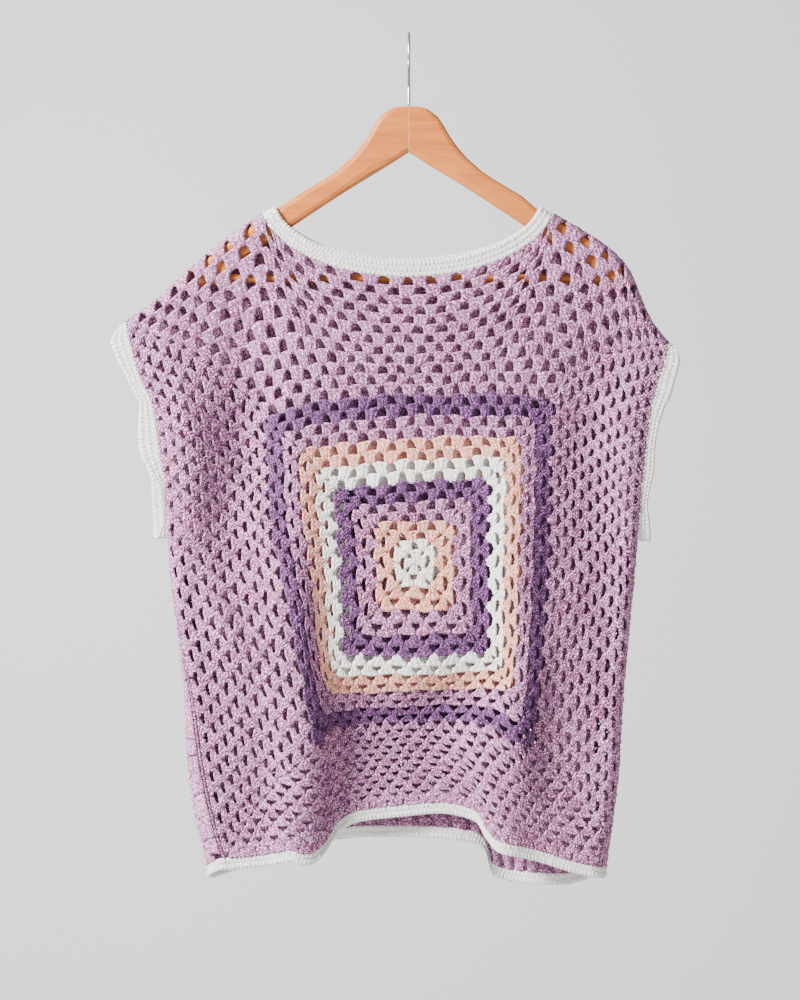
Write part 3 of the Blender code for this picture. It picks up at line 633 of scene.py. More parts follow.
class Drape:
    """One square's hanging form, worked out once on a fine grid of (u, v) and read between
    the grid's points as a weighted mean of the nearest four."""

    def __init__(self, panel, creases, fullness, dense, before=None):
        u, v = even_grid(FORM_GRID)
        self.own_side = panel.own_side
        self.fullness = fullness
        self.dense = dense
        self.drift = np.zeros((DRIFT_GRID, DRIFT_GRID, 2))
        if before:
            self.drift = self.drift_behind(panel, before)
        self.normal = surface_normals(panel, u, v)
        self.middle = stack(*panel.points(u, v)) + self.normal * self.crease(creases, u, v)

    @staticmethod
    def drift_behind(panel, before):
        """How far each stitch lies from its even place, in rounds, where the net hangs one
        round aside of the net before it and a little wider. Found by repeated steps of the
        distance that is still left."""
        u, v = [part.ravel() for part in even_grid(DRIFT_GRID)]
        want_x, want_z, _ = before.drawn(np.clip(u + 1, -ROUNDS, ROUNDS), v, SIDE_ALLOWANCE)
        want_x = VIEW_X + (want_x - VIEW_X) * NET_SPREAD
        want_z = VIEW_Z + (want_z - VIEW_Z) * NET_SPREAD
        at_u, at_v = u, v
        for _ in range(DRIFT_STEPS):
            x, z, _ = panel.drawn(at_u, at_v, SIDE_ALLOWANCE)
            at_u = np.clip(at_u + (want_x - x) / ROUND_MM, -ROUNDS, ROUNDS)
            at_v = np.clip(at_v + (want_z - z) / ROUND_MM, -ROUNDS, ROUNDS)
        return np.stack([at_u - u, at_v - v], axis=-1).reshape(DRIFT_GRID, DRIFT_GRID, 2)

    @staticmethod
    def crease(creases, u, v):
        """Each crease is a bell across its line and a half sine along it. All of them fade
        out at the square's edges, where it meets its neighbours."""
        height = np.zeros_like(u)
        for u0, v0, u1, v1, width, rise in creases:
            run = np.array([u1 - u0, v1 - v0])
            length = np.hypot(*run)
            along = ((u - u0) * run[0] + (v - v0) * run[1]) / length ** 2
            across = ((u - u0) * run[1] - (v - v0) * run[0]) / length
            inside = np.sin(math.pi * np.clip(along, 0, 1))
            height += rise * inside * np.exp(-(across / width) ** 2)
        return (height * within(np.maximum(np.abs(u), np.abs(v)), CREASE_FADE))[..., None]

    @staticmethod
    def sample(grid, u, v):
        """A grid over the square read at (u, v), as a weighted mean of the nearest four."""
        last = grid.shape[0] - 1
        x, y = [np.clip((t + ROUNDS) / (2 * ROUNDS) * last, 0, last - 1e-6) for t in (u, v)]
        i, j = x.astype(int), y.astype(int)
        s, t = (x - i)[..., None], (y - j)[..., None]
        low = grid[i, j] * (1 - s) + grid[i + 1, j] * s
        high = grid[i, j + 1] * (1 - s) + grid[i + 1, j + 1] * s
        return low * (1 - t) + high * t

    def at(self, u, v):
        """Place in mm and outward normal. The stitches wander a little from their even
        places, the net is drawn aside by a bell round each place in the table of shifts,
        and it drifts as a whole, sideways by at most half the way to the side edge; all of
        this fades out at the edges."""
        wander_u, wander_v = [sum(size * np.sin(a * u + b * v + c) for size, a, b, c in waves)
                              for waves in (WANDER_U, WANDER_V)]
        for at_u, at_v, aside, up, width in SHIFTS:
            bell = np.exp(-((u - at_u) ** 2 + (v - at_v) ** 2) / width ** 2)
            wander_u = wander_u + aside * bell
            wander_v = wander_v + up * bell
        drift = self.sample(self.drift, u, v)
        room = SIDE_DRIFT * (ROUNDS - np.clip(np.abs(u), 0, ROUNDS))
        u = u + within(u, WANDER_FADE) * wander_u + np.clip(drift[..., 0], -room, room)
        v = v + within(v, WANDER_FADE) * wander_v + drift[..., 1] * within(v, CREASE_FADE)
        return self.sample(self.middle, u, v), unit(self.sample(self.normal, u, v))


# Creases put on top of the folds: start (u, v), end (u, v), half width in
# rounds, rise in mm
CREASES_FRONT = (
    (-24.5, 28, -27.2, -2, 2.4, 8.5), (-15, 28, -23.5, -4, 3, -13),
    (-23, 14, -13, -6, 1.6, 5.5), (-26.5, 5, -19, -16, 1.9, 5.5),
    (26.2, 26, 27.8, 0, 2.2, 7), (20.5, 28, 26, -20, 3.2, -11),
    (10.4, 18, 15.2, -30, 3.6, 12.5), (23, -4, 21, -30, 2.8, -5),
    (-11.4, 18, -18.4, -30, 3.2, 12.5), (-20.4, 2, -20.4, -30, 2, -3.5),
    (1, -8, 1, -36, 7, -6),
    (-24, 5, -22, -20, 1.3, 1.8), (-12.5, -2, -13.5, -27, 1, -3),
    (-20.5, -8, -22.5, -27, 1.2, -2.2), (25.5, 17, 16, 0, 1.6, 2),
    (26.5, 8, 19, -12, 1.7, -2.2), (23, 2, 21.5, -23, 1.4, 1.7),
    (18, -6, 17.5, -26, 1.2, -2), (9, -9, 7.5, -27, 0.9, 2),
    (-14, 24, -9, 9, 2, -1.2), (12, 25, 17, 12, 1.8, 1.4),
    (-9, 13, 8, 10, 1.6, 0.9), (-6, 2, 7, 5, 1.4, -0.8),
    (-9, -17, 6, -15.5, 1.1, 1.2), (-9, -22.5, 5, -21, 0.9, -1),
)
CREASES_BACK = (
    (-25, 16, -14, -6, 1.6, 2), (24, 17, 15, -4, 1.7, 2),
    (26, 6, 20, -14, 1.5, -2.2), (-26, 7, -19, -16, 1.6, -2),
    (-8, -4, -9.5, -26, 1.4, -2.2), (8, -6, 9, -26, 1.4, 2),
    (-4, 22, 3, 8, 2, 1.2), (19, -8, 17.5, -26, 1.2, 1.8),
)
# Rounds with fuller clusters: side (0 top, 1 right, 2 bottom, 3 left), first round, and
# how much wider from there on
FRONT_DRAPE = Drape(FRONT, CREASES_FRONT, 0.0, ((2, 28, 0.40),))
BACK_DRAPE = Drape(BACK, CREASES_BACK, 0.24,
                   ((2, 20, 0.20), (2, 26, 0.20), (3, 18, 0.30), (1, 22, 0.20)), before=FRONT)

# One cluster: three trebles side by side, that rise from one gap and end in a row of
# loops. Stations across run over the three posts, stations up from foot to loops.
ACROSS = np.linspace(-1, 1, 10)
RIDGE = np.array([0.0, 0.85, 0.92, 0.60, 1.0, 1.0, 0.60, 0.92, 0.85, 0.0])
UP = np.array([0.0, 0.13, 0.49, 0.59, 0.76, 0.90, 1.0])
SWELL = np.array([0.30, 0.95, 0.85, 0.85, 0.62, 1.15, 0.40])
# The gaps stay open on the top side, hang narrower on the bottom and close to slits on the
# sides, where the net is drawn out lengthwise: half widths of a cluster for each station
# up, on the top, right, bottom and left side
HALF_WIDTH = np.array([
    [0.53, 0.56, 0.63, 0.66, 0.76, 1.02, 0.99],
    [0.44, 0.47, 0.54, 0.98, 1.09, 1.10, 1.03],
    [0.46, 0.50, 0.62, 0.92, 1.06, 1.08, 1.02],
    [0.44, 0.47, 0.54, 0.98, 1.09, 1.10, 1.03],
])
FULLEST = 1.10
LOOSE = 0.06
TIGHTEST = 0.85
LOOSEST = 1.12
LEAN = 0.05
BOW = 0.07
UNEVEN = 0.12
RIM = -0.1
FOOT = -0.16
RISE = 1.22
OUT_MM = 2.1
IN_MM = 1.7
# How strongly painted shade darkens a cluster between its posts and where it is thin
HOLLOW_SHADE = 0.8
THIN_SHADE = 0.35
CORNER_FOOT = 0.10
CORNER_HEAD = 0.74
TURNS = ((1, 0, 0, 1), (0, 1, -1, 0), (-1, 0, 0, -1), (0, -1, 1, 0))


def clusters(first, last):
    """Round, place along its side, side, and whether it is next to a corner at its start
    or end, for every cluster from round first to round last."""
    rows = [(k, 2 * j - (k - 1), side, j == 0, j == k - 1)
            for k in range(first, last + 1) for side in range(4) for j in range(k)]
    return [np.array(column) for column in zip(*rows)]


def repeated(count, size, *faces):
    """The same faces for each of count stitches, whose size points follow one another."""
    step = np.arange(count)[:, None, None] * size
    return [(np.array(part)[None] + step).reshape(-1, len(part[0])) for part in faces]


def cluster_mesh(name, drape, first, last, seed):
    """All clusters of some rounds as one mesh. A point lies at the foot's or head's half
    width times its station across, and stands off the cloth by ridge times swell."""
    rounds, centre, side, at_start, at_end = clusters(first, last)
    count, posts, levels = len(rounds), len(ACROSS), len(UP)
    ridge = RIDGE[None, :, None]
    inner = slice(posts // 2 - 1, posts // 2 + 1)
    chance = np.random.default_rng(seed)
    loose = 1 + LOOSE * chance.standard_normal((count, 1, 1))
    lean = LEAN * chance.standard_normal((count, 1, 1))
    corner = CORNER_FOOT + (CORNER_HEAD - CORNER_FOOT) * UP
    wider = sum(more * ((side == where) & (rounds >= start)) for where, start, more in drape.dense)
    half = np.minimum(HALF_WIDTH[side] + drape.fullness + wider[:, None], FULLEST)
    left = np.where(at_start[:, None], -corner, -half)
    right = np.where(at_end[:, None], corner, half)
    s = (ACROSS[None, :, None] + 1) / 2
    a = left[:, None, :] * (1 - s) + right[:, None, :] * s
    a = a * np.clip(loose, TIGHTEST, LOOSEST) + lean * UP
    a = centre[:, None, None] + a
    bow = BOW * (1 - ACROSS[None, :, None] ** 2) * UP
    b = (rounds[:, None, None] - 1) + FOOT + RISE * UP + bow + 0 * a
    thick = 1 + UNEVEN * chance.standard_normal((count, posts, 1))
    height = OUT_MM * np.where(ridge > 0, ridge * SWELL * thick, RIM)
    a, b = [np.concatenate([t, t[:, inner].mean(axis=1, keepdims=True)], axis=1) for t in (a, b)]
    height = np.concatenate([height, -IN_MM * SWELL + np.zeros((count, 1, levels))], axis=1)
    turn = np.array(TURNS, float)[side][:, :, None, None]
    u = turn[:, 0] * a + turn[:, 1] * b
    v = turn[:, 2] * a + turn[:, 3] * b
    middle, normal = drape.at(u, v)

    grid = np.arange((posts + 1) * levels).reshape(posts + 1, levels)
    quads = [(grid[i, j], grid[n, j], grid[n, j + 1], grid[i, j + 1])
             for order in (range(posts), (posts - 1, posts, 0))
             for i, n in zip(order[:-1], order[1:]) for j in range(levels - 1)]
    caps = [(grid[i + 1, 0], grid[i, 0], grid[-1, 0]) for i in range(posts - 1)]
    caps += [(grid[i, -1], grid[i + 1, -1], grid[-1, -1]) for i in range(posts - 1)]
    quads, caps = repeated(count, grid.size, quads, caps)
    if drape.own_side > 0:
        quads, caps = quads[:, ::-1], caps[:, ::-1]

    across = np.concatenate([(ACROSS + 1) * 1.5, [1.5]])[:, None]
    across = across + 3 * np.arange(count)[:, None, None] % 21
    # Painted shade: darkest at the cluster's inner point, dark between the posts and where the
    # cluster is thin
    shade = np.concatenate([1 - RIDGE, [1.0]])[:, None] * HOLLOW_SHADE
    shade = np.clip(shade + (1 - SWELL / SWELL.max()) * THIN_SHADE, 0, 1)
    return stitch_mesh(name, middle + normal * height[..., None], quads, caps, (across, UP),
                       shade, chance.random((count, 1, 1)))


def stitch_mesh(name, verts, quads, triangles, strand, shade, tone):
    """Mesh from whole arrays in mm. It carries a UV map that follows the yarn, and two
    values a point: shade, painted shade that is 1 deep between strands, and tone, which
    differs from stitch to stitch. The map and the values are given in any form that spreads
    to the points."""
    shape = verts.shape[:-1]
    verts = verts.reshape(-1, 3) / 1000
    strand = np.stack([np.broadcast_to(part, shape).ravel() for part in strand], axis=1)
    mesh = bpy.data.meshes.new(name)
    corners = np.concatenate([quads.ravel(), triangles.ravel()]).astype(np.int32)
    sizes = np.concatenate([np.full(len(quads), 4), np.full(len(triangles), 3)])
    starts = np.concatenate([[0], np.cumsum(sizes)[:-1]]).astype(np.int32)
    mesh.vertices.add(len(verts))
    mesh.loops.add(len(corners))
    mesh.polygons.add(len(sizes))
    mesh.vertices.foreach_set("co", verts.astype(np.float32).ravel())
    mesh.loops.foreach_set("vertex_index", corners)
    mesh.polygons.foreach_set("loop_start", starts)
    uv_map = mesh.uv_layers.new(name="strand")
    uv_map.data.foreach_set("uv", strand[corners].astype(np.float32).ravel())
    for key, values in (("shade", shade), ("tone", tone)):
        mesh.attributes.new(key, "FLOAT", "POINT").data.foreach_set(
            "value", np.broadcast_to(values, shape).astype(np.float32).ravel())
    mesh.update(calc_edges=True)
    mesh.validate()
    mesh.shade_smooth()
    return put(name, mesh)


def dress(piece, material, slot, *nodes):
    """A piece's colour and body, and the CAD nodes that it stands in for. The slot is not used."""
    piece.data.materials.append(material)
    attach(piece, "root")
    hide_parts(*nodes)


def srgb(red, green, blue):
    """A colour read off in 0 to 255 steps, as the shader's linear numbers."""
    return tuple((c / 255 / 12.92) if c < 10.3 else ((c / 255 + 0.055) / 1.055) ** 2.4
                 for c in (red, green, blue))


def cotton(name, light, main, dark, blush, heather=1.0):
    """Soft two-ply cotton: short light and dark fibres mixed along the yarn, patches that
    took the dye warmer, painted shade that darkens the hollows between strands, and a twist
    that stands up."""
    light, main, dark, blush = [srgb(*colour) for colour in (light, main, dark, blush)]
    paint = Finish(name, Roughness=0.93, Sheen_Weight=0.06, Sheen_Roughness=0.5)
    shade, tone = [paint.node("ShaderNodeAttribute", {"attribute_name": key}, out=2)
                   for key in ("shade", "tone")]
    strand = paint.node("ShaderNodeUVMap", {"uv_map": "strand"})
    across, along = [paint.node("ShaderNodeSeparateXYZ", {}, {0: strand}, out)
                     for out in (0, 1)]
    fibres = paint.noise(0.0016, 0.0)
    flecks = paint.noise(0.0014, 0.0)
    patches = paint.noise(0.035, 2.0)
    colour = paint.mix(patches.between(0.45, 0.70) * 0.6, main, blush)
    colour = paint.mix(fibres.between(0.53, 0.58) * (0.95 * heather), colour, light)
    colour = paint.mix(flecks.between(0.54, 0.59) * (0.85 * heather), colour, dark)
    colour = paint.mix(tone * 0.10, colour, light)
    # Painted shade: the colour goes towards dark where the shade value marks hollows between
    # strands
    colour = paint.mix(shade * 0.35, colour, dark)
    paint.feed("Base Color", colour)
    paint.feed("Roughness", 0.86 + fibres * 0.12)
    twist = ((along * 3.0 + across * 1.0) * (2 * math.pi)).wave()
    paint.bump((twist, 0.00022), (fibres, 0.00045), (paint.noise(0.0004, 2.0), 0.0002))
    return paint.material


LILAC_COTTON = cotton("lilac_cotton", (250, 190, 234), (148, 86, 130), (66, 18, 50),
                      (154, 68, 106))
PURPLE_COTTON = cotton("purple_cotton", (160, 100, 162), (78, 32, 84), (26, 6, 30),
                       (84, 34, 82))
PEACH_COTTON = cotton("peach_cotton", (255, 232, 214), (242, 156, 134), (150, 74, 58),
                      (228, 112, 90), 0.8)
WHITE_COTTON = cotton("white_cotton", (255, 255, 253), (242, 242, 238), (190, 178, 170),
                      (242, 234, 224), 0.7)

YARN_ROUNDS = (
    ("white_middle", 1, 2, WHITE_COTTON, "white_yarn"),
    ("peach_inner", 3, 4, PEACH_COTTON, "lilac_yarn"),
    ("lilac_inner", 5, 6, LILAC_COTTON, "lilac_yarn"),
    ("purple_inner", 7, 8, PURPLE_COTTON, "lilac_yarn"),
    ("white_ring", 9, 10, WHITE_COTTON, "white_yarn"),
    ("peach_ring", 11, 12, PEACH_COTTON, "lilac_yarn"),
    ("lilac_ring", 13, 14, LILAC_COTTON, "lilac_yarn"),
    ("purple_ring", 15, 16, PURPLE_COTTON, "lilac_yarn"),
    ("lilac_outer", 17, 28, LILAC_COTTON, "lilac_yarn"),
)
SQUARE_BLOCKS = ("panel", "neckline", "shoulder_left", "shoulder_right", "side_left",
                 "side_right")
for where, drape, seed in (("front", FRONT_DRAPE, 1), ("back", BACK_DRAPE, 50)):
    pieces = []
    for label, first, last, material, slot in YARN_ROUNDS:
        piece = cluster_mesh(f"{where}_{label}", drape, first, last, seed + first)
        dress(piece, material, slot, *[f"{where}_{block}" for block in SQUARE_BLOCKS])
        pieces.append(piece)
    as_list(pieces[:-1])


# Neck edging: three rows of white single crochet worked round the neckline of both squares.
ROW_PROFILE = np.array([0.30, 0.85, 1.0, 0.80])
STITCH_PROFILE = np.array([0.40, 1.0, 0.95, 0.75])
LAST_LINE = 0.1
SIZE_LIMIT = 0.2
SCALLOP = 0.035
WAVER = 0.01
EDGE_LAP = 0.6
# How far the edging's face and back stand off its middle, in mm: at least, and more by the
# profile
FACE_STAND = (0.2, 1.7)
BACK_STAND = (0.1, 1.2)
NECK_POINTS = 241
SLEEVE_POINTS = 161
HEM_POINTS = 401


def run_length(line):
    """Distance along a line of points from its first."""
    return np.concatenate([[0], np.cumsum(np.linalg.norm(np.diff(line, axis=0), axis=1))])


def read_line(line, length, places):
    """A line of points read at places along its length, straight between its points."""
    return np.stack([np.interp(places, length, line[:, k]) for k in range(3)], axis=1)


def ring_rows(lines, count):
    """The lines of a ring, read at count places spaced evenly along the first of them."""
    closed = [np.concatenate([line, line[:1]]) for line in lines]
    length = run_length(closed[0])
    place = np.linspace(0, length[-1], count, endpoint=False)
    return [read_line(line, length, place) for line in closed]


def ring_of(front, back):
    """A ring of what is on the front, in its order, and then back along the other."""
    return np.concatenate([front, back[-2:0:-1]])


def ring_facing(count):
    """Which way a ring's points look: the front's count to the front, the rest back."""
    forward = np.tile([0.0, -1.0, 0.0], (count, 1))
    return ring_of(forward, -forward)


def edging_mesh(name, edge, outer, facing, stitches, rows, seed):
    """Ring of single crochet between two closed lines. A point lies on the straight way from
    one line to the other and stands off it by its row's profile times its stitch's, with
    every second row shifted by half a stitch. The same sheet, less proud, closes the back."""
    per_stitch, per_row = len(STITCH_PROFILE), len(ROW_PROFILE)
    columns = stitches * per_stitch
    edge, outer, facing = ring_rows((edge, outer, facing), columns)
    chance = np.random.default_rng(seed)
    lines = rows * per_row + 1
    share = np.linspace(0, 1, lines)
    row = np.minimum(np.arange(lines) // per_row, rows - 1)
    column = np.arange(columns)[:, None]
    shifted = column + per_stitch // 2 * row
    stitch = STITCH_PROFILE[shifted % per_stitch]
    uneven = UNEVEN * chance.standard_normal((stitches, rows))
    size = 1 + np.clip(uneven, -SIZE_LIMIT, SIZE_LIMIT)
    size = size[(shifted // per_stitch) % stitches, row[None, :]]
    profile = np.append(np.tile(ROW_PROFILE, rows), LAST_LINE) * stitch * size
    scallop = SCALLOP * stitch * share ** 4
    reach = share + scallop + WAVER * chance.standard_normal(columns)[:, None] * share
    middle = edge[:, None] + (outer - edge)[:, None] * reach[..., None]
    along = np.roll(edge, -1, axis=0) - np.roll(edge, 1, axis=0)
    normal = unit(np.cross(along, outer - edge))
    turned = np.sum(normal * facing, axis=1, keepdims=True) < 0
    normal = np.where(turned, -normal, normal)[:, None]
    face, back = [(least + more * profile)[..., None]
                  for least, more in (FACE_STAND, BACK_STAND)]
    verts = np.stack([middle + normal * face, middle - normal * back])
    grid = np.arange(columns * lines).reshape(columns, lines)
    ahead = np.roll(grid, -1, axis=0)
    outside = np.stack([grid[:, :-1], ahead[:, :-1], ahead[:, 1:], grid[:, 1:]], axis=-1)
    inside = outside[..., ::-1] + grid.size
    rims = []
    for j, flip in ((0, -1), (-1, 1)):
        rim = np.stack([grid[:, j], ahead[:, j], ahead[:, j] + grid.size,
                        grid[:, j] + grid.size], axis=-1)
        rims.append(rim[:, ::flip])
    quads = np.concatenate([outside.reshape(-1, 4), inside.reshape(-1, 4)] + rims)
    if np.mean(turned) > 0.5:
        quads = quads[:, ::-1]
    strand = (column / per_stitch, share * rows)
    # Painted shade is deepest where the rows and stitches stand lowest
    return stitch_mesh(name, verts, quads, np.zeros((0, 3), int), strand,
                       np.clip(1 - profile, 0, 1), size - 0.5)


def neck_lines(panel, u):
    """Neckline and upper edge of the edging over one square, in step with the CAD solid."""
    x, z = neck_curve(u, panel.neck_depth)
    across = -down_from(neck_curve, u, panel.neck_depth)
    side = np.sign(u)
    arm = np.stack([-side * math.cos(ARM_SLOPE), np.full_like(u, math.sin(ARM_SLOPE))], axis=1)
    near_end = (np.abs(u) / NECK_ROUND)[:, None] ** 6
    across = unit(across * (1 - near_end) + arm * near_end)
    lines = []
    for reach in (-EDGE_LAP, EDGING_GAP + NECK_BAND):
        px = x + across[:, 0] * reach
        pz = z + across[:, 1] * reach
        over = arch(px, pz)
        over[0] = over[-1] = 0.0
        depth = panel.depth(np.array([ROUNDS]))[0][0]
        lines.append(stack(px, panel.own_side * depth * over, pz))
    return lines


def dress_edging(piece, node):
    dress(piece, WHITE_COTTON, "white_yarn", node)


neck_u = np.linspace(-NECK_ROUND, NECK_ROUND, NECK_POINTS)
front_edge, front_outer = neck_lines(FRONT, neck_u)
back_edge, back_outer = neck_lines(BACK, neck_u)
neck = edging_mesh("neck_edging_stitches", ring_of(front_edge, back_edge),
                   ring_of(front_outer, back_outer), ring_facing(NECK_POINTS), 156, 3, 7)
dress_edging(neck, "neck_edging")


# Sleeve edgings: three rows of the same stitches round each sleeve. Their outer line waves:
# round v, and how far it lies outside its even place in mm, from the foot up. On the left
# the front of the ring is drawn in above its foot and shows the inside of its back.
WAVE_LEFT = (
    (3, 3.5), (5, 2.5), (7, 2.5), (9, 1.5), (11, 4.5), (13, 7), (14.5, 6),
    (16.5, 3), (19.3, -1.5), (22, -1), (24, 3), (26.2, 5.5), (27.2, -1), (28, -9.5),
)
WAVE_RIGHT = (
    (3, 2), (5, -1), (8, -5.5), (10, -4), (12, -2.5), (15, -4), (18, -2.5),
    (20, 0), (22, 3.5), (25, 3), (26.3, 2), (27.2, -2.5), (28, -9.5),
)
DRAWN_LEFT = ((3, 1), (3.6, 0.7), (5, 0.3), (8, 0.32), (10, 0.8), (12, 1),
              (28, 1))
DRAWN_RIGHT = ((3, 1), (28, 1))


def sleeve_lines(side, wave, drawn):
    """Sleeve edge and outer line, down the front and up the back."""
    v = np.linspace(ROUNDS, SLEEVE_ROUND + CUFF_FOOT, SLEEVE_POINTS)
    u = np.full_like(v, side * ROUNDS)
    lines = []
    for panel in (FRONT, BACK):
        line = stack(*panel.points(u, v, seam_allowance=0.0))
        line[0, 1] = line[-1, 1] = 0.0
        lines.append(line)
    edge = ring_of(*lines)
    run = np.gradient(lines[0][:, [0, 2]], axis=0)
    across = unit(np.stack([-run[:, 1], run[:, 0]], axis=1))
    across = np.where((across[:, 0] * side < 0)[:, None], -across, across)
    across = ring_of(across, across)
    push = np.stack([across[:, 0], np.zeros(len(edge)), across[:, 1]], axis=1)
    reach = EDGING_GAP + CUFF_BAND + read(wave, 1, v)
    reach = ring_of(reach * read(drawn, 1, v), reach)
    return edge - EDGE_LAP * push, edge + push * reach[:, None]


for label, side, wave, drawn, stitches, around in (
    ("left", -1, WAVE_LEFT, DRAWN_LEFT, 110, 0.47),
    ("right", 1, WAVE_RIGHT, DRAWN_RIGHT, 100, 0.43),
):
    edge, outer = sleeve_lines(side, wave, drawn)
    cuff = edging_mesh(f"cuff_edging_{label}_stitches", edge, outer,
                       ring_facing(SLEEVE_POINTS), stitches, 3, 11 + side)
    dress_edging(cuff, f"cuff_edging_{label}")


# Hem edging: two rows of the same stitches round the lower edge of both squares.
hem_u = np.linspace(-ROUNDS, ROUNDS, HEM_POINTS)
hem_v = np.full_like(hem_u, -ROUNDS)
front_hem = stack(*FRONT.points(hem_u, hem_v))
back_hem = stack(*BACK.points(hem_u, hem_v))[::-1]
line = np.concatenate([front_hem, back_hem])
facing = np.concatenate([surface_normals(FRONT, hem_u, hem_v),
                         surface_normals(BACK, hem_u, hem_v)[::-1]])
run = unit(np.roll(line, -1, axis=0) - np.roll(line, 1, axis=0))
off = unit(np.cross(run, facing))
off = np.where(off[:, 2:] > 0, -off, off)
hem = edging_mesh("hem_edging_stitches", line - EDGE_LAP * off,
                  line + off * HEM_GAP + np.array([0.0, 0.0, -HEM_BAND]), facing, 236, 2, 17)
dress_edging(hem, "hem_edging")


# Joining seams: lilac whip stitches that lie across the edges of front and back, down both
# sides below the sleeves and along both shoulders.
SIDE_POINTS = 121
SHOULDER_POINTS = 91
LENS_RING = 6
LENS_STATIONS = 6
LENS_REACH = 4.6
LENS_SLANT = 1.3
LENS_RISE = 1.5
LENS_SINK = 0.3
LENS_WIDTH = 0.42
LENS_END = 0.30
LENS_FULL = 0.95
LENS_UNEVEN = 0.15


def turn_out(mesh):
    """Makes all faces of a mesh look outwards."""
    shell = bmesh.new()
    shell.from_mesh(mesh)
    bmesh.ops.recalc_face_normals(shell, faces=shell.faces)
    shell.to_mesh(mesh)
    shell.free()


def whip_stitches(name, line, across, normal, count, seed):
    """A row of slanted stitches along a line. Each is a bent lens: a ring of points round
    its own short way, wide in the middle and thin at both ends."""
    along = np.linspace(0, 1, LENS_STATIONS)
    round_it = np.arange(LENS_RING) * (2 * math.pi) / LENS_RING
    length = run_length(line)
    centres = (np.arange(count) + 0.5) / count * length[-1]
    at = [read_line(part, length, centres) for part in (line, across, normal)]
    run = unit(np.cross(at[1], at[2]))
    chance = np.random.default_rng(seed)
    pitch = length[-1] / count
    span = (along - 0.5)[None, :, None]
    size = (1 + LENS_UNEVEN * chance.standard_normal((count, 1, 1)))
    path = (at[0][:, None] + at[1][:, None] * span * LENS_REACH
            + run[:, None] * span * pitch * LENS_SLANT)
    rise = LENS_RISE * np.sin(math.pi * along)[None, :, None] * size
    path = path + at[2][:, None] * (rise - LENS_SINK)
    fat = LENS_END + LENS_FULL * np.sin(math.pi * along) ** 0.7
    ring = (np.cos(round_it)[:, None, None, None] * run[:, None] * pitch * LENS_WIDTH
            + np.sin(round_it)[:, None, None, None] * at[2][:, None])
    verts = (path[None] + ring * fat[None, None, :, None]).transpose(1, 2, 0, 3)
    grid = np.arange(LENS_STATIONS * LENS_RING).reshape(LENS_STATIONS, LENS_RING)
    ahead = np.roll(grid, -1, axis=1)
    quads = [(grid[i, j], ahead[i, j], ahead[i + 1, j], grid[i + 1, j])
             for i in range(LENS_STATIONS - 1) for j in range(LENS_RING)]
    caps = [(grid[0, 0], grid[0, j + 1], grid[0, j]) for j in range(1, LENS_RING - 1)]
    caps += [(grid[-1, 0], grid[-1, j], grid[-1, j + 1]) for j in range(1, LENS_RING - 1)]
    quads, caps = repeated(count, grid.size, quads, caps)
    strand = (np.arange(LENS_RING) / LENS_RING, along[:, None] * 2)
    # Painted shade, darker towards the thin ends of each stitch
    shade = 1 - fat[:, None] / (LENS_END + LENS_FULL)
    piece = stitch_mesh(name, verts, quads, caps, strand, shade, chance.random((count, 1, 1)))
    turn_out(piece.data)
    return piece


def side_seam_lines(table, side, across):
    """A line beside the side seam, across millimetres to the front of it, as in the CAD."""
    v = np.linspace(SLEEVE_ROUND - SIDE_SEAM_START, -ROUNDS, SIDE_POINTS)
    front_depth, back_depth = FRONT.depth(v)
    radius = (front_depth + back_depth) / 2
    fold_x, z, arc = side_edge(table, v, radius)
    past = math.pi / 2 - (arc + across) / radius
    angle = np.clip(past, 0, math.pi)
    beyond = np.minimum(past, 0) - np.maximum(past - math.pi, 0)
    turn = np.cos(angle)
    y = -np.where(turn > 0, front_depth, back_depth) * turn
    return stack(fold_x + side * radius * (np.sin(angle) - 1 + beyond), y, z)


for label, table, side in (("left", LEFT_SIDE, -1), ("right", RIGHT_SIDE, 1)):
    low, middle, high = [side_seam_lines(table, side, c) for c in (-1.5, 0.0, 1.5)]
    across = unit(high - low)
    normal = unit(np.cross(np.gradient(middle, axis=0), across))
    outward = middle * [1.0, 1.0, 0.0]
    normal = np.where(np.sum(normal * outward, axis=1, keepdims=True) < 0, -normal, normal)
    seam = whip_stitches(f"side_seam_{label}_stitches", middle, across, normal, 76, 23 + side)
    dress(seam, LILAC_COTTON, "lilac_yarn", f"side_seam_{label}")

for label, table, side in (("left", SHOULDER_LEFT, -1), ("right", SHOULDER_RIGHT, 1)):
    u = np.linspace(table[0][0] + SEAM_END, table[-1][0] - SEAM_END, SHOULDER_POINTS)
    x, z = read(table, 1, u), read(table, 2, u)
    down = down_from(top_edge, u, FRONT.neck_depth)
    normal = stack(-down[:, 0], 0 * x, -down[:, 1])
    across = np.tile([0.0, 1.0, 0.0], (SHOULDER_POINTS, 1))
    seam = whip_stitches(f"shoulder_seam_{label}_stitches", stack(x, 0 * x, z), across, normal,
                         44, 31 + side)
    dress(seam, LILAC_COTTON, "lilac_yarn", f"shoulder_seam_{label}")


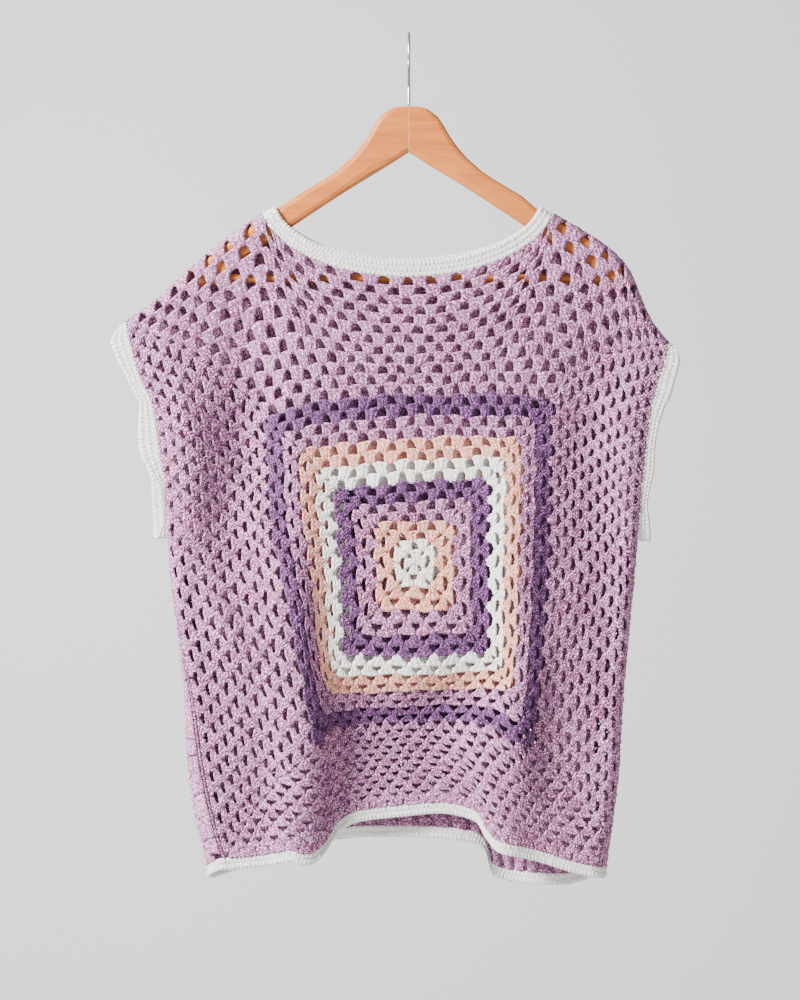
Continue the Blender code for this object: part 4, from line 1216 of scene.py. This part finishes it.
# Hanger: two arms of pale beech under a clear orange varnish, joined in the middle, with a
# round bar of the same wood between their ends.
def beech(name, lean):
    """Varnished beech: long fine grain and broader bands along the piece, which leans by an
    angle to X, and short dark pores. The varnish is smoother than the wood under it."""
    paint = Finish(name, Coat_Weight=0.12, Coat_Roughness=0.35)
    along = paint.node("ShaderNodeMapping", {}, {
        "Vector": paint.place(), "Rotation": (0.0, lean, 0.0), "Scale": (1.0, 14.0, 14.0)})
    grain = paint.node("ShaderNodeTexNoise", {}, {"Vector": along, "Scale": 45.0, "Detail": 5.0})
    bands = paint.node("ShaderNodeTexNoise", {}, {"Vector": along, "Scale": 7.0, "Detail": 2.0,
                                                  "Distortion": 0.4})
    pores = paint.node("ShaderNodeTexNoise", {}, {"Vector": along, "Scale": 130.0, "Detail": 1.0})
    colour = paint.mix(bands.between(0.3, 0.7), srgb(198, 114, 42), srgb(182, 98, 32))
    colour = paint.mix(grain.between(0.45, 0.7) * 0.4, colour, srgb(164, 82, 26))
    colour = paint.mix(pores.between(0.66, 0.76) * 0.4, colour, srgb(130, 62, 26))
    paint.feed("Base Color", colour)
    paint.feed("Roughness", 0.38 + grain * 0.18)
    paint.bump((grain, 0.00012), (pores, 0.00008))
    return paint.material


for node, lean in (("hanger_arm_left", 31.0), ("hanger_arm_right", -31.0), ("hanger_bar", 0.0)):
    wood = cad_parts[node]
    wood.data.materials.clear()
    wood.data.materials.append(beech(f"{node}_beech", math.radians(lean)))


# Hook: one bent steel wire, plated and polished, set in the middle of the hanger.
HOOK_WIRE = 1.5
HOOK_RADIUS = 22.5
HOOK_FOOT_Z = -73.7
HOOK_STEM_TOP = -56.0
HOOK_START = math.radians(-62.0)
HOOK_TIP_ANGLE = math.radians(-28.0)
HOOK_LEAN = 0.9
HOOK_POINTS = 120
END_THINNING = 0.75


def wire_mesh(name, path, radius, sides):
    """Round wire along a path in the plane across X: a ring of points round each place."""
    tangent = unit(np.gradient(path, axis=0))
    first = np.tile([1.0, 0.0, 0.0], (len(path), 1))
    second = np.cross(tangent, first)
    angle = np.arange(sides) * 2 * math.pi / sides
    thin = np.ones(len(path))
    thin[0] = thin[-1] = END_THINNING
    ring = (first[:, None] * np.cos(angle)[None, :, None]
            + second[:, None] * np.sin(angle)[None, :, None])
    verts = path[:, None] + ring * (radius * thin)[:, None, None]
    grid = np.arange(len(path) * sides).reshape(len(path), sides)
    ahead = np.roll(grid, -1, axis=1)
    quads = np.stack([grid[:-1], ahead[:-1], ahead[1:], grid[1:]], axis=-1).reshape(-1, 4)
    faces = quads.tolist() + [grid[0, ::-1].tolist(), grid[-1].tolist()]
    mesh = bpy.data.meshes.new(name)
    mesh.from_pydata((verts.reshape(-1, 3) / 1000).tolist(), [], faces)
    turn_out(mesh)
    mesh.shade_smooth()
    mesh.set_sharp_from_angle(angle=math.radians(50))
    return put(name, mesh)


centre_z = -(HOOK_RADIUS - HOOK_WIRE)
join_y = HOOK_RADIUS * math.cos(HOOK_START)
join_z = centre_z + HOOK_RADIUS * math.sin(HOOK_START)
path = [(0, 0, z) for z in np.linspace(HOOK_FOOT_Z, HOOK_STEM_TOP, 4)]
for t in (0.25, 0.5, 0.75):
    path.append((0, join_y * HOOK_LEAN * float(ramp(t, 0, 1)),
                 HOOK_STEM_TOP + (join_z - HOOK_STEM_TOP) * t))
path += [(0, HOOK_RADIUS * math.cos(a), centre_z + HOOK_RADIUS * math.sin(a))
         for a in np.linspace(HOOK_START, math.pi - HOOK_TIP_ANGLE, 26)]
path = np.array(path, float)
length = run_length(path)
places = np.linspace(0, length[-1], HOOK_POINTS)
path = stack(*[smooth(length, path[:, k], places) for k in range(3)])
hook = wire_mesh("hook_wire", path, HOOK_WIRE, 16)
steel = Finish("polished_steel", Metallic=1.0, Roughness=0.2)
scratches = steel.noise(0.0006, 3.0, (1.0, 1.0, 0.15))
dull = steel.noise(0.012, 2.0)
steel.feed("Base Color", steel.mix(dull.between(0.35, 0.7), (0.62, 0.62, 0.63),
                                   (0.45, 0.45, 0.46)))
steel.feed("Roughness", 0.16 + dull * 0.16 + scratches * 0.08)
steel.bump((scratches, 0.00004))
dress(hook, steel.material, "hook_wire", "hanger_hook")
